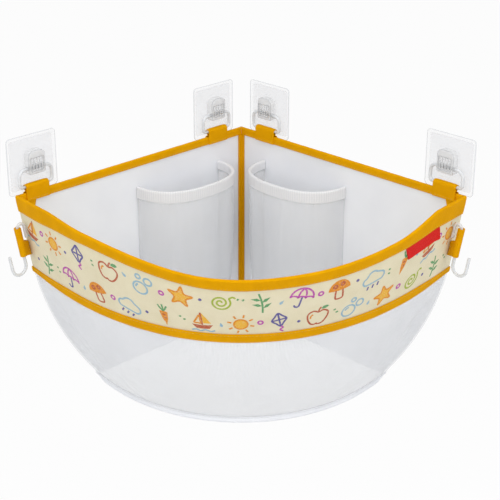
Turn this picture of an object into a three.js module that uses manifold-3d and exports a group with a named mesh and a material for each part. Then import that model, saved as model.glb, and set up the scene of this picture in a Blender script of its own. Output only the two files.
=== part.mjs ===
// Corner bath toy organizer: a soft quarter-round bag of two wall panels, a printed front band, a mesh
// skirt and a flat base, hung from four adhesive wall hooks, with two bottle pockets and two side hooks.
// Millimetres, +Z up. The room's walls are the planes y = 0 (right) and x = 0 (left), and z = 0 is the
// height of the rim at the walls. On each wall, u runs out from the corner, z up and d off the wall.
import * as THREE from "three";
import { mergeVertices } from "three/addons/utils/BufferGeometryUtils.js";
import Module from "manifold-3d";

// Clearance between pieces that are sewn, glued or threaded together
const seat = 0.3;

// Front of the bag, at its three seams: reach is along the walls, bulge is past a quarter circle
const rimReach = 322.5;
const rimBulge = 40;
const rimSag = 27.5;
const rimShoulder = 5;
const bandTaper = 15;
const bandFootBulge = 27;
const bandFootSag = 22;
const bandDrop = 83;
const baseReach = 230;
const baseBulge = 34;
const bagDepth = 234;

// How the front changes with its swell, which is 0 at the walls and 1 in the middle
const bulgePower = 1.25;
const shoulderStart = 0.26;
const shoulderEnd = 0.48;
const rimSagStart = 0.25;
const rimSagPowerRight = 1.05;
const rimSagPowerLeft = 2.6;
const bandFootSagPower = 1.1;
const rimTapeStart = 0.2;
const rimTapeEnd = 0.55;
const footTapeEnd = 0.45;

// How far the skirt draws in halfway down
const skirtTuck = 0.22;

// Cloth, mesh and tape
const panelThickness = 1.6;
const bandThickness = 1.6;
const meshThickness = 1.2;
const baseThickness = 1.6;
const tapeThickness = 0.9;
const rimTapeAtRightWall = 17;
const rimTapeAtLeftWall = 15.5;
const rimTapeInFront = 10.4;
const rimTapeInside = 11;
const wallTapeHeight = 6.4;
const footTapeAboveAtWalls = 4;
const footTapeAboveInFront = 7.5;
const footTapeBelowAtWalls = 2;
const footTapeBelowInFront = 3.5;
const cornerTapeLeg = 5.4;
const pipingThickness = 2.2;
const pipingAbove = 4.5;
const pipingBelow = 1.5;

// Bottle pockets, one on each wall
const pocketCentre = 105;
const pocketWidth = 120;
const pocketReach = 50;
const pocketTop = 31;
const pocketHeight = 150;
const pocketPlanPower = 2.5;
const pocketFootPower = 5;
const hemHeight = 11;
const hemInside = 8;
const hemThickness = 1;

// Label sewn under the front rim tape
const labelLength = 48;
const labelHeight = 13.5;
const labelThickness = 0.9;
const labelGap = 0.8;
const labelTurn = THREE.MathUtils.degToRad(12);

// Adhesive wall hooks
const innerHookAt = 46;
const outerHookInset = 24.5;
const padSize = 60;
const padCorner = 4;
const padCentre = 30;
const filmThickness = 0.5;
const filmInset = 1.5;
const plateThickness = 1.4;
const housingWidth = 20.5;
const housingHeight = 24.5;
const housingBelow = 5.5;
const housingDepth = 8;
const housingArch = 4;
const housingCorner = 2;
const housingEdge = 0.8;
const grooveCount = 3;
const grooveWidth = 2.4;
const groovePitch = 5.2;
const grooveHeight = 13;
const grooveDepth = 1.4;
const grooveRise = 0.55;
const bailWire = 3.6;
const bailWidth = 40;
const bailPivot = 26;
const bailBar = 8;
const bailShoulder = 7;
const bailHeel = 4;
const tabWidth = 28;
const tabThickness = 1.2;

// Side hooks in their webbing sleeves
const sleeveTopRight = 25.3;
const sleeveTopLeft = 27.5;
const sleeveLength = 32;
const sleeveReach = 11.5;
const sleeveStandoffRight = 20;
const sleeveStandoffLeft = 13;
const sleeveWebbing = 1.4;
const sleeveNeckLength = 16;
const sleeveNeckNear = 3.2;
const sleevePlay = 0.5;
const hookWire = 3.4;
const curlSpread = 8;
const shortLeg = 13;
const cupSpread = 16.5;
const cupDrop = 10;
const tipRise = 16;

// Steps round the curves
const frontSteps = 32;
const skirtSteps = 8;
const pocketSteps = 20;
const pocketRows = 8;
const foldSteps = 4;
const pipingSides = 10;
const wireSides = 8;
const bailSteps = 44;
const hookSteps = 48;
const arcSteps = 4;
const boreSides = 12;

// What stands off the wall, from the wall inwards
const plateFront = filmThickness + seat + plateThickness;
const tapeStack = panelThickness / 2 + seat + tapeThickness;
const bailStandoff = plateFront + seat + tabThickness + seat + tapeStack;
const wallGap = bailStandoff - panelThickness / 2;
const panelFront = bailStandoff + panelThickness / 2;

const mustard = { color: 0xe2a500, roughness: 0.8, metalness: 0 };
const whiteCloth = { color: 0xe8e8ea, roughness: 0.85, metalness: 0 };
const printedCloth = { color: 0xe3dab8, roughness: 0.85, metalness: 0 };
const frostedMesh = { color: 0xeef0f2, roughness: 0.6, metalness: 0, transparent: true, opacity: 0.55 };
const redLabel = { color: 0xd8322f, roughness: 0.7, metalness: 0 };
const clearPlastic = { color: 0xf2f4f6, roughness: 0.15, metalness: 0, transparent: true, opacity: 0.5 };
const milkyPlastic = { color: 0xe9ecee, roughness: 0.3, metalness: 0, transparent: true, opacity: 0.8 };

const organizer = new THREE.Group();
const rightWall = new THREE.Group();
rightWall.rotation.x = Math.PI / 2;
const leftWall = new THREE.Group();
leftWall.rotation.set(Math.PI / 2, Math.PI / 2, 0);
leftWall.scale.x = -1;
organizer.add(rightWall, leftWall);

const wasm = await Module();
wasm.setup();

// A named piece with a material of its own
function piece(parent, name, geometry, finish) {
  const mesh = new THREE.Mesh(geometry, new THREE.MeshStandardMaterial(finish));
  mesh.name = name;
  parent.add(mesh);
  return mesh;
}

// Geometry to a solid for cutting
function toSolid(geometry) {
  const bare = geometry.clone();
  bare.deleteAttribute("normal");
  bare.deleteAttribute("uv");
  const merged = mergeVertices(bare, 1e-4);
  const vertProperties = merged.attributes.position.array;
  const triVerts = new Uint32Array(merged.index.array);
  return new wasm.Manifold(new wasm.Mesh({ numProp: 3, vertProperties, triVerts }));
}

// A cut solid back to geometry
function toGeometry(solid) {
  const { vertProperties, triVerts } = solid.getMesh();
  const geometry = new THREE.BufferGeometry();
  geometry.setAttribute("position", new THREE.BufferAttribute(new Float32Array(vertProperties), 3));
  geometry.setIndex(new THREE.BufferAttribute(new Uint32Array(triVerts), 1));
  return geometry;
}

// A closed body that carries a flat section along stations, each placed by a function
function sweep(stations, section, place) {
  const rings = stations.map((s) => section(s).map((p) => place(s, p)));
  const count = rings[0].length;
  const triangles = [];
  for (let i = 0; i + 1 < rings.length; i++) {
    for (let j = 0; j < count; j++) {
      const [a, b] = [i * count + j, i * count + ((j + 1) % count)];
      triangles.push(a, b, b + count, a, b + count, a + count);
    }
  }
  const first = section(stations[0]);
  const lastRing = (rings.length - 1) * count;
  const forward = !THREE.ShapeUtils.isClockWise(first);
  for (const [a, b, c] of THREE.ShapeUtils.triangulateShape(first, [])) {
    triangles.push(...(forward ? [a, c, b] : [a, b, c]));
  }
  for (const [a, b, c] of THREE.ShapeUtils.triangulateShape(section(stations.at(-1)), [])) {
    triangles.push(...(forward ? [a, b, c] : [a, c, b]).map((k) => k + lastRing));
  }
  return outward(new THREE.BufferGeometry().setFromPoints(rings.flat()).setIndex(triangles));
}

// The same body with its faces pointing out
function outward(geometry) {
  const { index, attributes } = geometry;
  const corner = (i) => new THREE.Vector3().fromBufferAttribute(attributes.position, index.getX(i));
  let volume = 0;
  for (let i = 0; i < index.count; i += 3) {
    volume += corner(i).dot(corner(i + 1).cross(corner(i + 2)));
  }
  if (volume < 0) geometry.setIndex([...index.array].reverse());
  return geometry;
}

// Even values from one number to another
function spread(from, to, steps) {
  return Array.from({ length: steps + 1 }, (_, i) => from + ((to - from) * i) / steps);
}

// Section of a tape folded over an edge: across its fold, and up from the fold's centre
function foldedTape(halfGap, thickness, frontLength, backLength) {
  const arc = (radius, from, to) =>
    spread(from, to, foldSteps).map((a) => new THREE.Vector2(radius * Math.cos(a), radius * Math.sin(a)));
  const outer = halfGap + thickness;
  return [
    new THREE.Vector2(outer, -frontLength),
    ...arc(outer, 0, Math.PI),
    new THREE.Vector2(-outer, -backLength),
    new THREE.Vector2(-halfGap, -backLength),
    ...arc(halfGap, Math.PI, 0),
    new THREE.Vector2(halfGap, -frontLength),
  ];
}

// Front of the bag: turn runs from the right wall (0) to the left wall (a quarter turn)
const quarter = Math.PI / 2;
const frontTurns = spread(0, quarter, frontSteps);
const swell = (turn) => Math.max(0, Math.sin(2 * turn));
const { lerp, smoothstep } = THREE.MathUtils;

function seam(turn, reach, bulge, drop) {
  return new THREE.Vector2(reach - wallGap + bulge * swell(turn) ** bulgePower, -drop);
}
// The rim is level beside the walls, then drops over a shoulder and sags, sooner on the right
function rim(turn) {
  const shoulder = rimShoulder * smoothstep(swell(turn), shoulderStart, shoulderEnd);
  const slack = Math.max(0, swell(turn) - rimSagStart) / (1 - rimSagStart);
  const leftward = smoothstep(turn, quarter / 3, (2 * quarter) / 3);
  const sag = rimSag * slack ** lerp(rimSagPowerRight, rimSagPowerLeft, leftward);
  return seam(turn, rimReach, rimBulge, shoulder + sag);
}
function bandFoot(turn) {
  const sag = bandFootSag * swell(turn) ** bandFootSagPower;
  return seam(turn, rimReach - bandTaper, bandFootBulge, bandDrop + sag);
}
const baseEdge = (turn) => seam(turn, baseReach, baseBulge, bagDepth);

function onFront(turn, p) {
  return new THREE.Vector3(wallGap + p.x * Math.cos(turn), -wallGap - p.x * Math.sin(turn), p.y);
}
const outOf = (down) => new THREE.Vector2(-down.y, down.x);

// A point of the band, so far below the rim and so far out from the outer face
function bandPoint(turn, below, out) {
  const top = rim(turn);
  const down = bandFoot(turn).sub(top).normalize();
  return top.addScaledVector(down, below).addScaledVector(outOf(down), out);
}
const bandLength = (turn) => rim(turn).distanceTo(bandFoot(turn));

// How far the rim tape comes down the band: further beside the walls
function rimTapeDrop(turn) {
  const atWall = lerp(rimTapeAtRightWall, rimTapeAtLeftWall, turn / quarter);
  return lerp(atWall, rimTapeInFront, smoothstep(swell(turn), rimTapeStart, rimTapeEnd));
}

// The skirt's outer line, from the band's foot to the base
function skirtCurve(turn) {
  const top = bandFoot(turn);
  const foot = baseEdge(turn);
  const belly = new THREE.Vector2(top.x - (top.x - foot.x) * skirtTuck, (top.y + foot.y) / 2);
  return new THREE.QuadraticBezierCurve(top, belly, foot);
}
function skirtPoint(turn, share, out) {
  const line = skirtCurve(turn);
  return line.getPoint(share).addScaledVector(outOf(line.getTangent(share)), out);
}

// A strip between two faces, given point by point down its length
function strip(shares, point, outside, inside) {
  const outer = shares.map((t) => point(t, outside));
  const inner = shares.map((t) => point(t, inside));
  return [...outer, ...inner.reverse()];
}

function addFront() {
  const band = (turn) =>
    strip([0, bandLength(turn) - seat], (below, out) => bandPoint(turn, below, out), 0, -bandThickness);
  piece(organizer, "front_band", sweep(frontTurns, band, onFront), printedCloth);

  const skirtShares = spread(0, 1, skirtSteps);
  const skirt = (turn) => strip(skirtShares, (t, out) => skirtPoint(turn, t, out), 0, -meshThickness);
  piece(organizer, "front_skirt", sweep(frontTurns, skirt, onFront), frostedMesh);

  const rimTape = (turn) => {
    const fold = foldedTape(bandThickness / 2 + seat, tapeThickness, rimTapeDrop(turn), rimTapeInside);
    return fold.map((p) => bandPoint(turn, -p.y, p.x - bandThickness / 2));
  };
  piece(organizer, "front_rim_binding", sweep(frontTurns, rimTape, onFront), mustard);

  // The tape over the band's foot bends with the seam from the band to the skirt
  const footTape = (turn) => {
    const foot = bandLength(turn);
    const line = skirtCurve(turn);
    const front = smoothstep(swell(turn), 0, footTapeEnd);
    const above = lerp(footTapeAboveAtWalls, footTapeAboveInFront, front);
    const below = lerp(footTapeBelowAtWalls, footTapeBelowInFront, front) / line.getLength();
    const point = (k, out) => (k < 0 ? bandPoint(turn, foot + k, out) : skirtPoint(turn, k, out));
    return strip([-above, -seat, below], point, seat + tapeThickness, seat);
  };
  piece(organizer, "band_foot_binding", sweep(frontTurns, footTape, onFront), mustard);

  const piping = (turn) => {
    const line = skirtCurve(turn);
    const down = line.getTangent(1);
    const centre = line.getPoint(1).addScaledVector(outOf(down), seat + pipingThickness / 2);
    const middle = (pipingBelow - pipingAbove) / 2;
    const half = (pipingBelow + pipingAbove) / 2;
    return spread(0, 2 * Math.PI, pipingSides)
      .slice(1)
      .map((a) =>
        centre
          .clone()
          .addScaledVector(down, middle + half * Math.cos(a))
          .addScaledVector(outOf(down), (pipingThickness / 2) * Math.sin(a)),
      );
  };
  piece(organizer, "base_piping", sweep(frontTurns, piping, onFront), whiteCloth);

  // The floor stops on the line of the skirt, so that the piping lies over both
  const floor = new THREE.Shape([
    new THREE.Vector2(wallGap, -wallGap),
    ...frontTurns.map((turn) => {
      const down = skirtCurve(turn).getTangent(1);
      const edge = baseEdge(turn).addScaledVector(down, (seat + baseThickness) / -down.y);
      const p = onFront(turn, edge);
      return new THREE.Vector2(p.x, p.y);
    }),
  ]);
  const base = new THREE.ExtrudeGeometry(floor, { depth: baseThickness, bevelEnabled: false });
  piece(organizer, "base_panel", base, frostedMesh).position.z = -bagDepth - seat - baseThickness;

  const labelHalf = labelLength / 2 / rim(labelTurn).x;
  const label = (turn) => {
    const top = rimTapeDrop(turn) + labelGap;
    const point = (below, out) => bandPoint(turn, below, out);
    return strip([top, top + labelHeight], point, seat + labelThickness, seat);
  };
  const between = frontTurns.filter((turn) => Math.abs(turn - labelTurn) < labelHalf);
  const labelTurns = [labelTurn - labelHalf, ...between, labelTurn + labelHalf];
  piece(organizer, "band_label", sweep(labelTurns, label, onFront), redLabel);
}

// Tape in the rear corner: a key between the panels with a leg along each of them
function addRearCorner() {
  const legFace = panelFront + seat;
  const key = legFace + tapeThickness;
  const end = panelFront + cornerTapeLeg;
  const half = [
    [wallGap, wallGap],
    [key, wallGap],
    [key, legFace],
    [end, legFace],
    [end, key],
    [key, key],
  ];
  const mirrored = half.slice(1, -1).map(([x, y]) => [y, x]);
  const outline = [...half, ...mirrored.reverse()].map(([x, y]) => new THREE.Vector2(x, -y));
  const depth = bagDepth - wallTapeHeight - seat;
  const tape = new THREE.ExtrudeGeometry(new THREE.Shape(outline), { depth, bevelEnabled: false });
  piece(organizer, "rear_corner_binding", tape, mustard).position.z = -bagDepth;
}

// Wall panel: straight at the rear, top and base, following the inside of the band and skirt in front
function addPanel(wall, side) {
  const clear = bandThickness + seat;
  const tapeClear = clear + tapeThickness + seat;
  const onWall = (p) => new THREE.Vector2(wallGap + p.x, p.y);
  const rear = panelFront + seat + tapeThickness + seat;
  const top = onWall(bandPoint(0, 0, -tapeClear));
  const notch = rimTapeInside + seat;
  const skirtEdge = spread(0, 1, skirtSteps).map((t) => onWall(skirtPoint(0, t, -clear)));
  const foot = new THREE.Vector2(skirtEdge.at(-1).x, -bagDepth);
  const outline = [
    new THREE.Vector2(rear, 0),
    new THREE.Vector2(rear, -bagDepth),
    foot,
    ...skirtEdge.filter((p) => p.y > -bagDepth + seat).reverse(),
    onWall(bandPoint(0, notch, -clear)),
    onWall(bandPoint(0, notch, -tapeClear)),
    new THREE.Vector2(top.x, 0),
  ];
  const cut = { depth: panelThickness, bevelEnabled: false };
  const panel = new THREE.ExtrudeGeometry(new THREE.Shape(outline), cut);
  piece(wall, "back_panel_" + side, panel, whiteCloth).position.z = wallGap;

  // Tape over the panel's top edge, mitred in the rear corner
  const fold = foldedTape(panelThickness / 2 + seat, tapeThickness, wallTapeHeight, wallTapeHeight);
  const tapeEnd = wallGap + bandPoint(0, wallTapeHeight, -tapeClear).x - seat;
  const place = (end, p) => {
    const d = bailStandoff + p.x;
    return new THREE.Vector3(end ? tapeEnd : d + seat, p.y, d);
  };
  const tape = sweep([0, 1], () => fold, place);
  piece(wall, "wall_rim_binding_" + side, tape, mustard);
}

// Bottle pocket: rounded in plan, drawn in to the wall panel along its foot
function addPocket(wall, side) {
  const lobe = (value, power) => Math.sign(value) * Math.abs(value) ** (2 / power);
  const place = (turn, p) => {
    const sunk = Math.max(0, -pocketTop - p.y) / (pocketHeight + p.x);
    const depth = Math.max(0, 1 - sunk ** pocketFootPower) ** (1 / pocketFootPower);
    return new THREE.Vector3(
      pocketCentre + (pocketWidth / 2 + p.x) * lobe(Math.cos(turn), pocketPlanPower),
      p.y,
      panelFront + seat + (pocketReach + p.x) * lobe(Math.sin(turn), pocketPlanPower) * depth,
    );
  };
  const turns = spread(0, Math.PI, pocketSteps);
  const rows = spread(0, quarter, pocketRows).map((a) => lobe(Math.sin(a), pocketFootPower));
  const point = (row, out) => new THREE.Vector2(out, -pocketTop - (pocketHeight + out) * row);
  const wallStrip = strip(rows, point, meshThickness, 0);
  piece(wall, "bottle_pocket_" + side, sweep(turns, () => wallStrip, place), frostedMesh);

  const fold = foldedTape(meshThickness / 2 + seat, hemThickness, hemHeight, hemInside);
  const hem = fold.map((p) => new THREE.Vector2(p.x + meshThickness / 2, p.y - pocketTop));
  piece(wall, "pocket_hem_" + side, sweep(turns, () => hem, place), whiteCloth);
}

function roundedSquare(size, corner) {
  const half = size / 2 - corner;
  const shape = new THREE.Shape();
  shape.absarc(half, half, corner, 0, quarter);
  shape.absarc(-half, half, corner, quarter, Math.PI);
  shape.absarc(-half, -half, corner, Math.PI, 1.5 * Math.PI);
  shape.absarc(half, -half, corner, 1.5 * Math.PI, 2 * Math.PI);
  return shape;
}

// A flat path of lines and arcs as a curve in space
class FlatCurve extends THREE.Curve {
  constructor(path) {
    super();
    this.path = path;
  }
  getPoint(t, target = new THREE.Vector3()) {
    const { x, y } = this.path.getPoint(t);
    return target.set(x, y, 0);
  }
}

// Clear block that holds the bail: arched on top, grooved in front, bored across for the bail's pivot
function housingGeometry() {
  const half = housingWidth / 2 - housingEdge;
  const base = bailPivot - housingBelow + housingEdge;
  const spring = base + housingHeight - 2 * housingEdge - housingArch;
  const archRadius = (half * half + housingArch * housingArch) / (2 * housingArch);
  const archCentre = spring + housingArch - archRadius;
  const archHalf = Math.asin(half / archRadius);
  const outline = new THREE.Shape();
  outline.moveTo(-half + housingCorner, base);
  outline.absarc(half - housingCorner, base + housingCorner, housingCorner, -quarter, 0);
  outline.absarc(0, archCentre, archRadius, quarter - archHalf, quarter + archHalf);
  outline.absarc(-half + housingCorner, base + housingCorner, housingCorner, Math.PI, 1.5 * Math.PI);
  const block = new THREE.ExtrudeGeometry(outline, {
    depth: housingDepth - 2 * housingEdge,
    bevelSize: housingEdge,
    bevelThickness: housingEdge,
    bevelSegments: 1,
    curveSegments: arcSteps,
  });
  block.translate(0, 0, plateFront + seat + housingEdge);
  const boreRadius = bailWire / 2 + seat;
  const bore = new THREE.CylinderGeometry(boreRadius, boreRadius, 2 * housingWidth, boreSides);
  bore.rotateZ(quarter).translate(0, bailPivot, bailStandoff);
  let solid = toSolid(block).subtract(toSolid(bore));
  const grooveMiddle = THREE.MathUtils.lerp(base, spring, grooveRise);
  for (let i = 0; i < grooveCount; i++) {
    const groove = new THREE.BoxGeometry(grooveWidth, grooveHeight, 2 * grooveDepth);
    const across = (i - (grooveCount - 1) / 2) * groovePitch;
    groove.translate(across, grooveMiddle, plateFront + seat + housingDepth);
    solid = solid.subtract(toSolid(groove));
  }
  return toGeometry(solid);
}

// Wire stirrup: its upper bar turns in the block and its lower bar carries the tab
function bailGeometry() {
  const side = bailWidth / 2;
  const ring = new THREE.Path();
  ring.moveTo(0, bailPivot);
  ring.lineTo(side - bailShoulder, bailPivot);
  ring.absarc(side - bailShoulder, bailPivot - bailShoulder, bailShoulder, quarter, 0, true);
  ring.lineTo(side, bailBar + bailHeel);
  ring.absarc(side - bailHeel, bailBar + bailHeel, bailHeel, 0, -quarter, true);
  ring.lineTo(-side + bailHeel, bailBar);
  ring.absarc(-side + bailHeel, bailBar + bailHeel, bailHeel, -quarter, -Math.PI, true);
  ring.lineTo(-side, bailPivot - bailShoulder);
  ring.absarc(-side + bailShoulder, bailPivot - bailShoulder, bailShoulder, Math.PI, quarter, true);
  ring.lineTo(0, bailPivot);
  return new THREE.TubeGeometry(new FlatCurve(ring), bailSteps, bailWire / 2, wireSides, true);
}

// One adhesive hook with the bag's tab on its bail
function addHook(wall, place, u) {
  const hook = new THREE.Group();
  hook.position.x = u;
  wall.add(hook);
  const flat = (size, depth) => {
    const cut = { depth, bevelEnabled: false, curveSegments: arcSteps };
    return new THREE.ExtrudeGeometry(roundedSquare(size, padCorner), cut);
  };
  const filmSize = padSize - 2 * filmInset;
  const film = piece(hook, "hook_film_" + place, flat(filmSize, filmThickness), milkyPlastic);
  film.position.y = padCentre;
  const plate = piece(hook, "hook_plate_" + place, flat(padSize, plateThickness), clearPlastic);
  plate.position.set(0, padCentre, filmThickness + seat);
  piece(hook, "hook_housing_" + place, housingGeometry(), clearPlastic);
  piece(hook, "hook_bail_" + place, bailGeometry(), milkyPlastic).position.z = bailStandoff;

  const halfGap = tapeStack + seat;
  const foldCentre = bailBar + bailWire / 2 + seat - halfGap;
  const leg = wallTapeHeight + foldCentre;
  const loop = new THREE.Shape(foldedTape(halfGap, tabThickness, leg, leg));
  const tab = new THREE.ExtrudeGeometry(loop, { depth: tabWidth, bevelEnabled: false });
  tab.translate(0, 0, -tabWidth / 2).rotateY(-quarter);
  piece(hook, "hang_tab_" + place, tab, mustard).position.set(0, foldCentre, bailStandoff);
}

// Webbing sleeve sewn to the end of the band, with the S-shaped hook that swivels in it
function addSideHook(wall, side, standoff, sleeveTop) {
  const bore = hookWire / 2 + sleevePlay;
  const loop = bore + sleeveWebbing;
  const neckFar = sleeveNeckNear + 2 * sleeveWebbing;
  const neckTurn = Math.atan2(standoff - sleeveNeckNear - wallGap, rimReach - wallGap);
  const bandTurn = side === "left" ? quarter - neckTurn : neckTurn;
  const edgePoint = (below) => {
    const p = onFront(neckTurn, bandPoint(bandTurn, below, 0));
    return new THREE.Vector2(p.x, p.z);
  };
  const top = edgePoint(sleeveTop);
  const up = edgePoint(0).sub(top).normalize();

  // The frame of the sleeve: x out from the band's edge, y up along it, z off the wall
  const frame = new THREE.Group();
  frame.rotation.z = -Math.asin(up.x);
  frame.position.set(top.x + up.y * sleeveReach, top.y - up.x * sleeveReach, standoff);
  wall.add(frame);

  const neckEnd = seat - sleeveReach;
  const tangent = Math.atan2(neckFar, neckEnd) - Math.acos(loop / Math.hypot(neckFar, neckEnd));
  const root = Math.PI - Math.asin(sleeveNeckNear / 2 / loop);
  const outline = new THREE.Shape();
  outline.moveTo(neckEnd, neckFar);
  outline.absarc(0, 0, loop, tangent, root, true);
  outline.lineTo(neckEnd, sleeveNeckNear);

  // The loop runs the sleeve's whole length, and its neck only the lower half
  const tube = new THREE.Shape().absarc(0, 0, loop, 0, 2 * Math.PI);
  const webbing = (shape, depth) => {
    const cloth = new THREE.ExtrudeGeometry(shape, { depth, bevelEnabled: false, curveSegments: 2 * arcSteps });
    return toSolid(cloth.rotateX(-quarter).translate(0, -sleeveLength, 0));
  };
  const hollow = new THREE.CylinderGeometry(bore, bore, 3 * sleeveLength, 4 * arcSteps);
  const sleeve = webbing(tube, sleeveLength).add(webbing(outline, sleeveNeckLength)).subtract(toSolid(hollow));
  piece(frame, "hook_sleeve_" + side, toGeometry(sleeve), mustard);

  // The curl hangs on the sleeve's upper edge
  const curl = curlSpread / 2;
  const cup = cupSpread / 2;
  const overEdge = curl - bore;
  const curlCentre = seat - Math.sqrt((curl - hookWire / 2) ** 2 - overEdge ** 2);
  const cupCentre = -sleeveLength - cupDrop;
  const wire = new THREE.Path();
  wire.moveTo(-curlSpread, curlCentre - shortLeg);
  wire.lineTo(-curlSpread, curlCentre);
  wire.absarc(-curl, curlCentre, curl, Math.PI, 0, true);
  wire.lineTo(0, cupCentre);
  wire.absarc(cup, cupCentre, cup, Math.PI, 2 * Math.PI);
  wire.lineTo(cupSpread, cupCentre + tipRise);
  const round = new THREE.Shape().absarc(0, 0, hookWire / 2, 0, 2 * Math.PI);
  const hook = new THREE.ExtrudeGeometry(round, {
    extrudePath: new FlatCurve(wire),
    steps: hookSteps,
    curveSegments: wireSides / 2,
  });
  piece(frame, "side_hook_" + side, hook, milkyPlastic);
}

addFront();
addRearCorner();
for (const [wall, side, sleeveStandoff, sleeveTop] of [
  [rightWall, "right", sleeveStandoffRight, sleeveTopRight],
  [leftWall, "left", sleeveStandoffLeft, sleeveTopLeft],
]) {
  addPanel(wall, side);
  addPocket(wall, side);
  addHook(wall, "inner_" + side, innerHookAt);
  addHook(wall, "outer_" + side, rimReach - outerHookInset);
  addSideHook(wall, side, sleeveStandoff, sleeveTop);
}

export default organizer;
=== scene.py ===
# Corner bath toy organizer: a soft quarter-round bag hung in a room corner from four adhesive hooks.
# Sizes are worked in millimetres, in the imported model's own axes, and turned to metres in each mesh.
import math

import bpy
from mathutils import Matrix, Vector, noise


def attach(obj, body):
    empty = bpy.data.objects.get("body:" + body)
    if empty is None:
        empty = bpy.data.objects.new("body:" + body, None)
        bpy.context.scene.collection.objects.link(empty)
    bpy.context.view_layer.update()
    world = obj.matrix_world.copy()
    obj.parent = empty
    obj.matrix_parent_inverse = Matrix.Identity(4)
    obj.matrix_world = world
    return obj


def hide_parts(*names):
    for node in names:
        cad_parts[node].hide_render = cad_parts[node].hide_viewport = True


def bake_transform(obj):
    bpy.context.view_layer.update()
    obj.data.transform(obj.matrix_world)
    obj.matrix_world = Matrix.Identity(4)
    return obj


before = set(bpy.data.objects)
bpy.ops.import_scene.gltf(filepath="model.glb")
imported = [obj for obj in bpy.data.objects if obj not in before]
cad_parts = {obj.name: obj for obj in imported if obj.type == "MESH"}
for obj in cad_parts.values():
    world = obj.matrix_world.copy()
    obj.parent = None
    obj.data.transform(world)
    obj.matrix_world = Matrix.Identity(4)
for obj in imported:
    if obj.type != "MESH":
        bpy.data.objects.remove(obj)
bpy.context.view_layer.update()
bpy.ops.object.select_all(action="DESELECT")


# The view: a long lens a little above the rim, looking straight into the corner.
# One wide softbox above the front, a weaker one from each side, and an even pale surround.
camera_data = bpy.data.cameras.new("camera")
camera_data.lens = 95.3
camera_data.sensor_width = 36
camera_data.shift_x = 0.018
camera_data.shift_y = -0.024
camera = bpy.data.objects.new("camera", camera_data)
bpy.context.scene.collection.objects.link(camera)
camera.location = (1.0388, -1.0346, 0.4732)
aim = Vector((0.140, -0.140, -0.058))
camera.rotation_euler = (aim - camera.location).to_track_quat("-Z", "Y").to_euler()
bpy.context.scene.camera = camera
bpy.context.scene.view_settings.view_transform = "Standard"

for lamp_name, lamp_place, lamp_size, lamp_power in (
    ("softbox_above", (0.72, -0.68, 1.35), 1.3, 11.0),
    ("softbox_left", (0.15, -1.45, 0.45), 1.0, 4.7),
    ("softbox_right", (1.45, -0.15, 0.45), 1.0, 4.8),
):
    bpy.ops.object.light_add(type="AREA", location=lamp_place)
    lamp = bpy.context.object
    lamp.name = lamp_name
    lamp.data.size = lamp_size
    lamp.data.energy = lamp_power
    lamp.rotation_euler = (aim - lamp.location).to_track_quat("-Z", "Y").to_euler()


def srgb(code):
    """A hex colour as linear red, green, blue and alpha."""
    parts = [int(code[i : i + 2], 16) / 255 for i in (0, 2, 4)]
    return [c / 12.92 if c <= 0.04045 else ((c + 0.055) / 1.055) ** 2.4 for c in parts] + [1.0]


def feed(made, inputs):
    """Sets the inputs of a node: a value is written in, and a socket is linked."""
    for name, value in inputs.items():
        if isinstance(value, bpy.types.NodeSocket):
            made.id_data.links.new(value, made.inputs[name])
        else:
            made.inputs[name].default_value = value


def node(owner, kind, inputs=None, out=0, **settings):
    """Adds one shader node, sets it up, links what feeds it, and gives one of its outputs."""
    made = owner.node_tree.nodes.new("ShaderNode" + kind)
    for name, value in settings.items():
        setattr(made, name, value)
    feed(made, inputs or {})
    return made.outputs[out]


def new_finish(name):
    """A new material, and the shader that its nodes feed."""
    made = bpy.data.materials.new(name)
    made.use_nodes = True
    return made, made.node_tree.nodes["Principled BSDF"]


def seen_directly(owner):
    """1 where the surround itself is seen, also in a gloss or through a clear piece, and 0 as a light."""
    paths = node(owner, "LightPath").node.outputs
    seen = node(owner, "Math", {0: paths["Is Camera Ray"], 1: paths["Is Glossy Ray"]}, operation="ADD")
    return node(owner, "Math", {0: seen, 1: paths["Is Transmission Ray"]}, operation="ADD")


world = bpy.data.worlds.new("pale_surround")
world.use_nodes = True
bpy.context.scene.world = world
level = node(world, "MapRange", {"Value": seen_directly(world), "To Min": 0.56, "To Max": 1.0})
feed(world.node_tree.nodes["Background"], {"Color": srgb("ffffff"), "Strength": level})

floor_level = -0.62
floor_finish, shader = new_finish("pale_studio_floor")
feed(shader, {"Base Color": srgb("f4f4f4"), "Roughness": 1.0})
seen = seen_directly(floor_finish)
share = node(floor_finish, "Math", {0: seen, 1: 0.94}, operation="MULTIPLY", use_clamp=True)
glow = node(floor_finish, "Emission", {"Color": srgb("ffffff"), "Strength": 1.0})
both = node(floor_finish, "MixShader", {0: share, 1: shader.outputs[0], 2: glow})
feed(floor_finish.node_tree.nodes["Material Output"], {"Surface": both})
bpy.ops.mesh.primitive_plane_add(size=30, location=(0, 0, floor_level))
floor = bpy.context.object
floor.name = "studio_floor"
floor.data.materials.append(floor_finish)


# The white wall panels: one cut of coated polyester cloth for each wall, straight along the corner,
# the rim and the base, and cut to the line of the band and skirt in front. Mustard tape is folded over
# the top edge of each, deeper at its outer end, and sewn down with one row of lockstitch.
quarter = math.pi / 2
wall_gap = 5.2
panel_thickness = 1.6
panel_front = wall_gap + panel_thickness
bag_depth = 234.0
rim_reach, rim_bulge, rim_sag, rim_shoulder = 322.5, 40, 27.5, 5
level_until, shoulder_run = 0.3, 0.3
rim_tape_inside = 11.0
band_slope, foot_bulge, band_drop, band_drop_more = 15, 27, 83, 22
band_length_at_wall = 84.3
base_reach, base_bulge, skirt_belly = 230, 34, 0.22
band_thickness = 1.6
mesh_thickness = 1.2
tape_thickness = 0.9
seat = 0.3
wall_tape_height = 6.4
tail_from, tail_run, tail_depth = 299.5, 2.5, 6.5
mitre_gap = 0.03
stitch_pitch = 3.4


def swell(turn):
    """0 at the walls and 1 halfway between them."""
    return max(0.0, math.sin(2 * turn))


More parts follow.
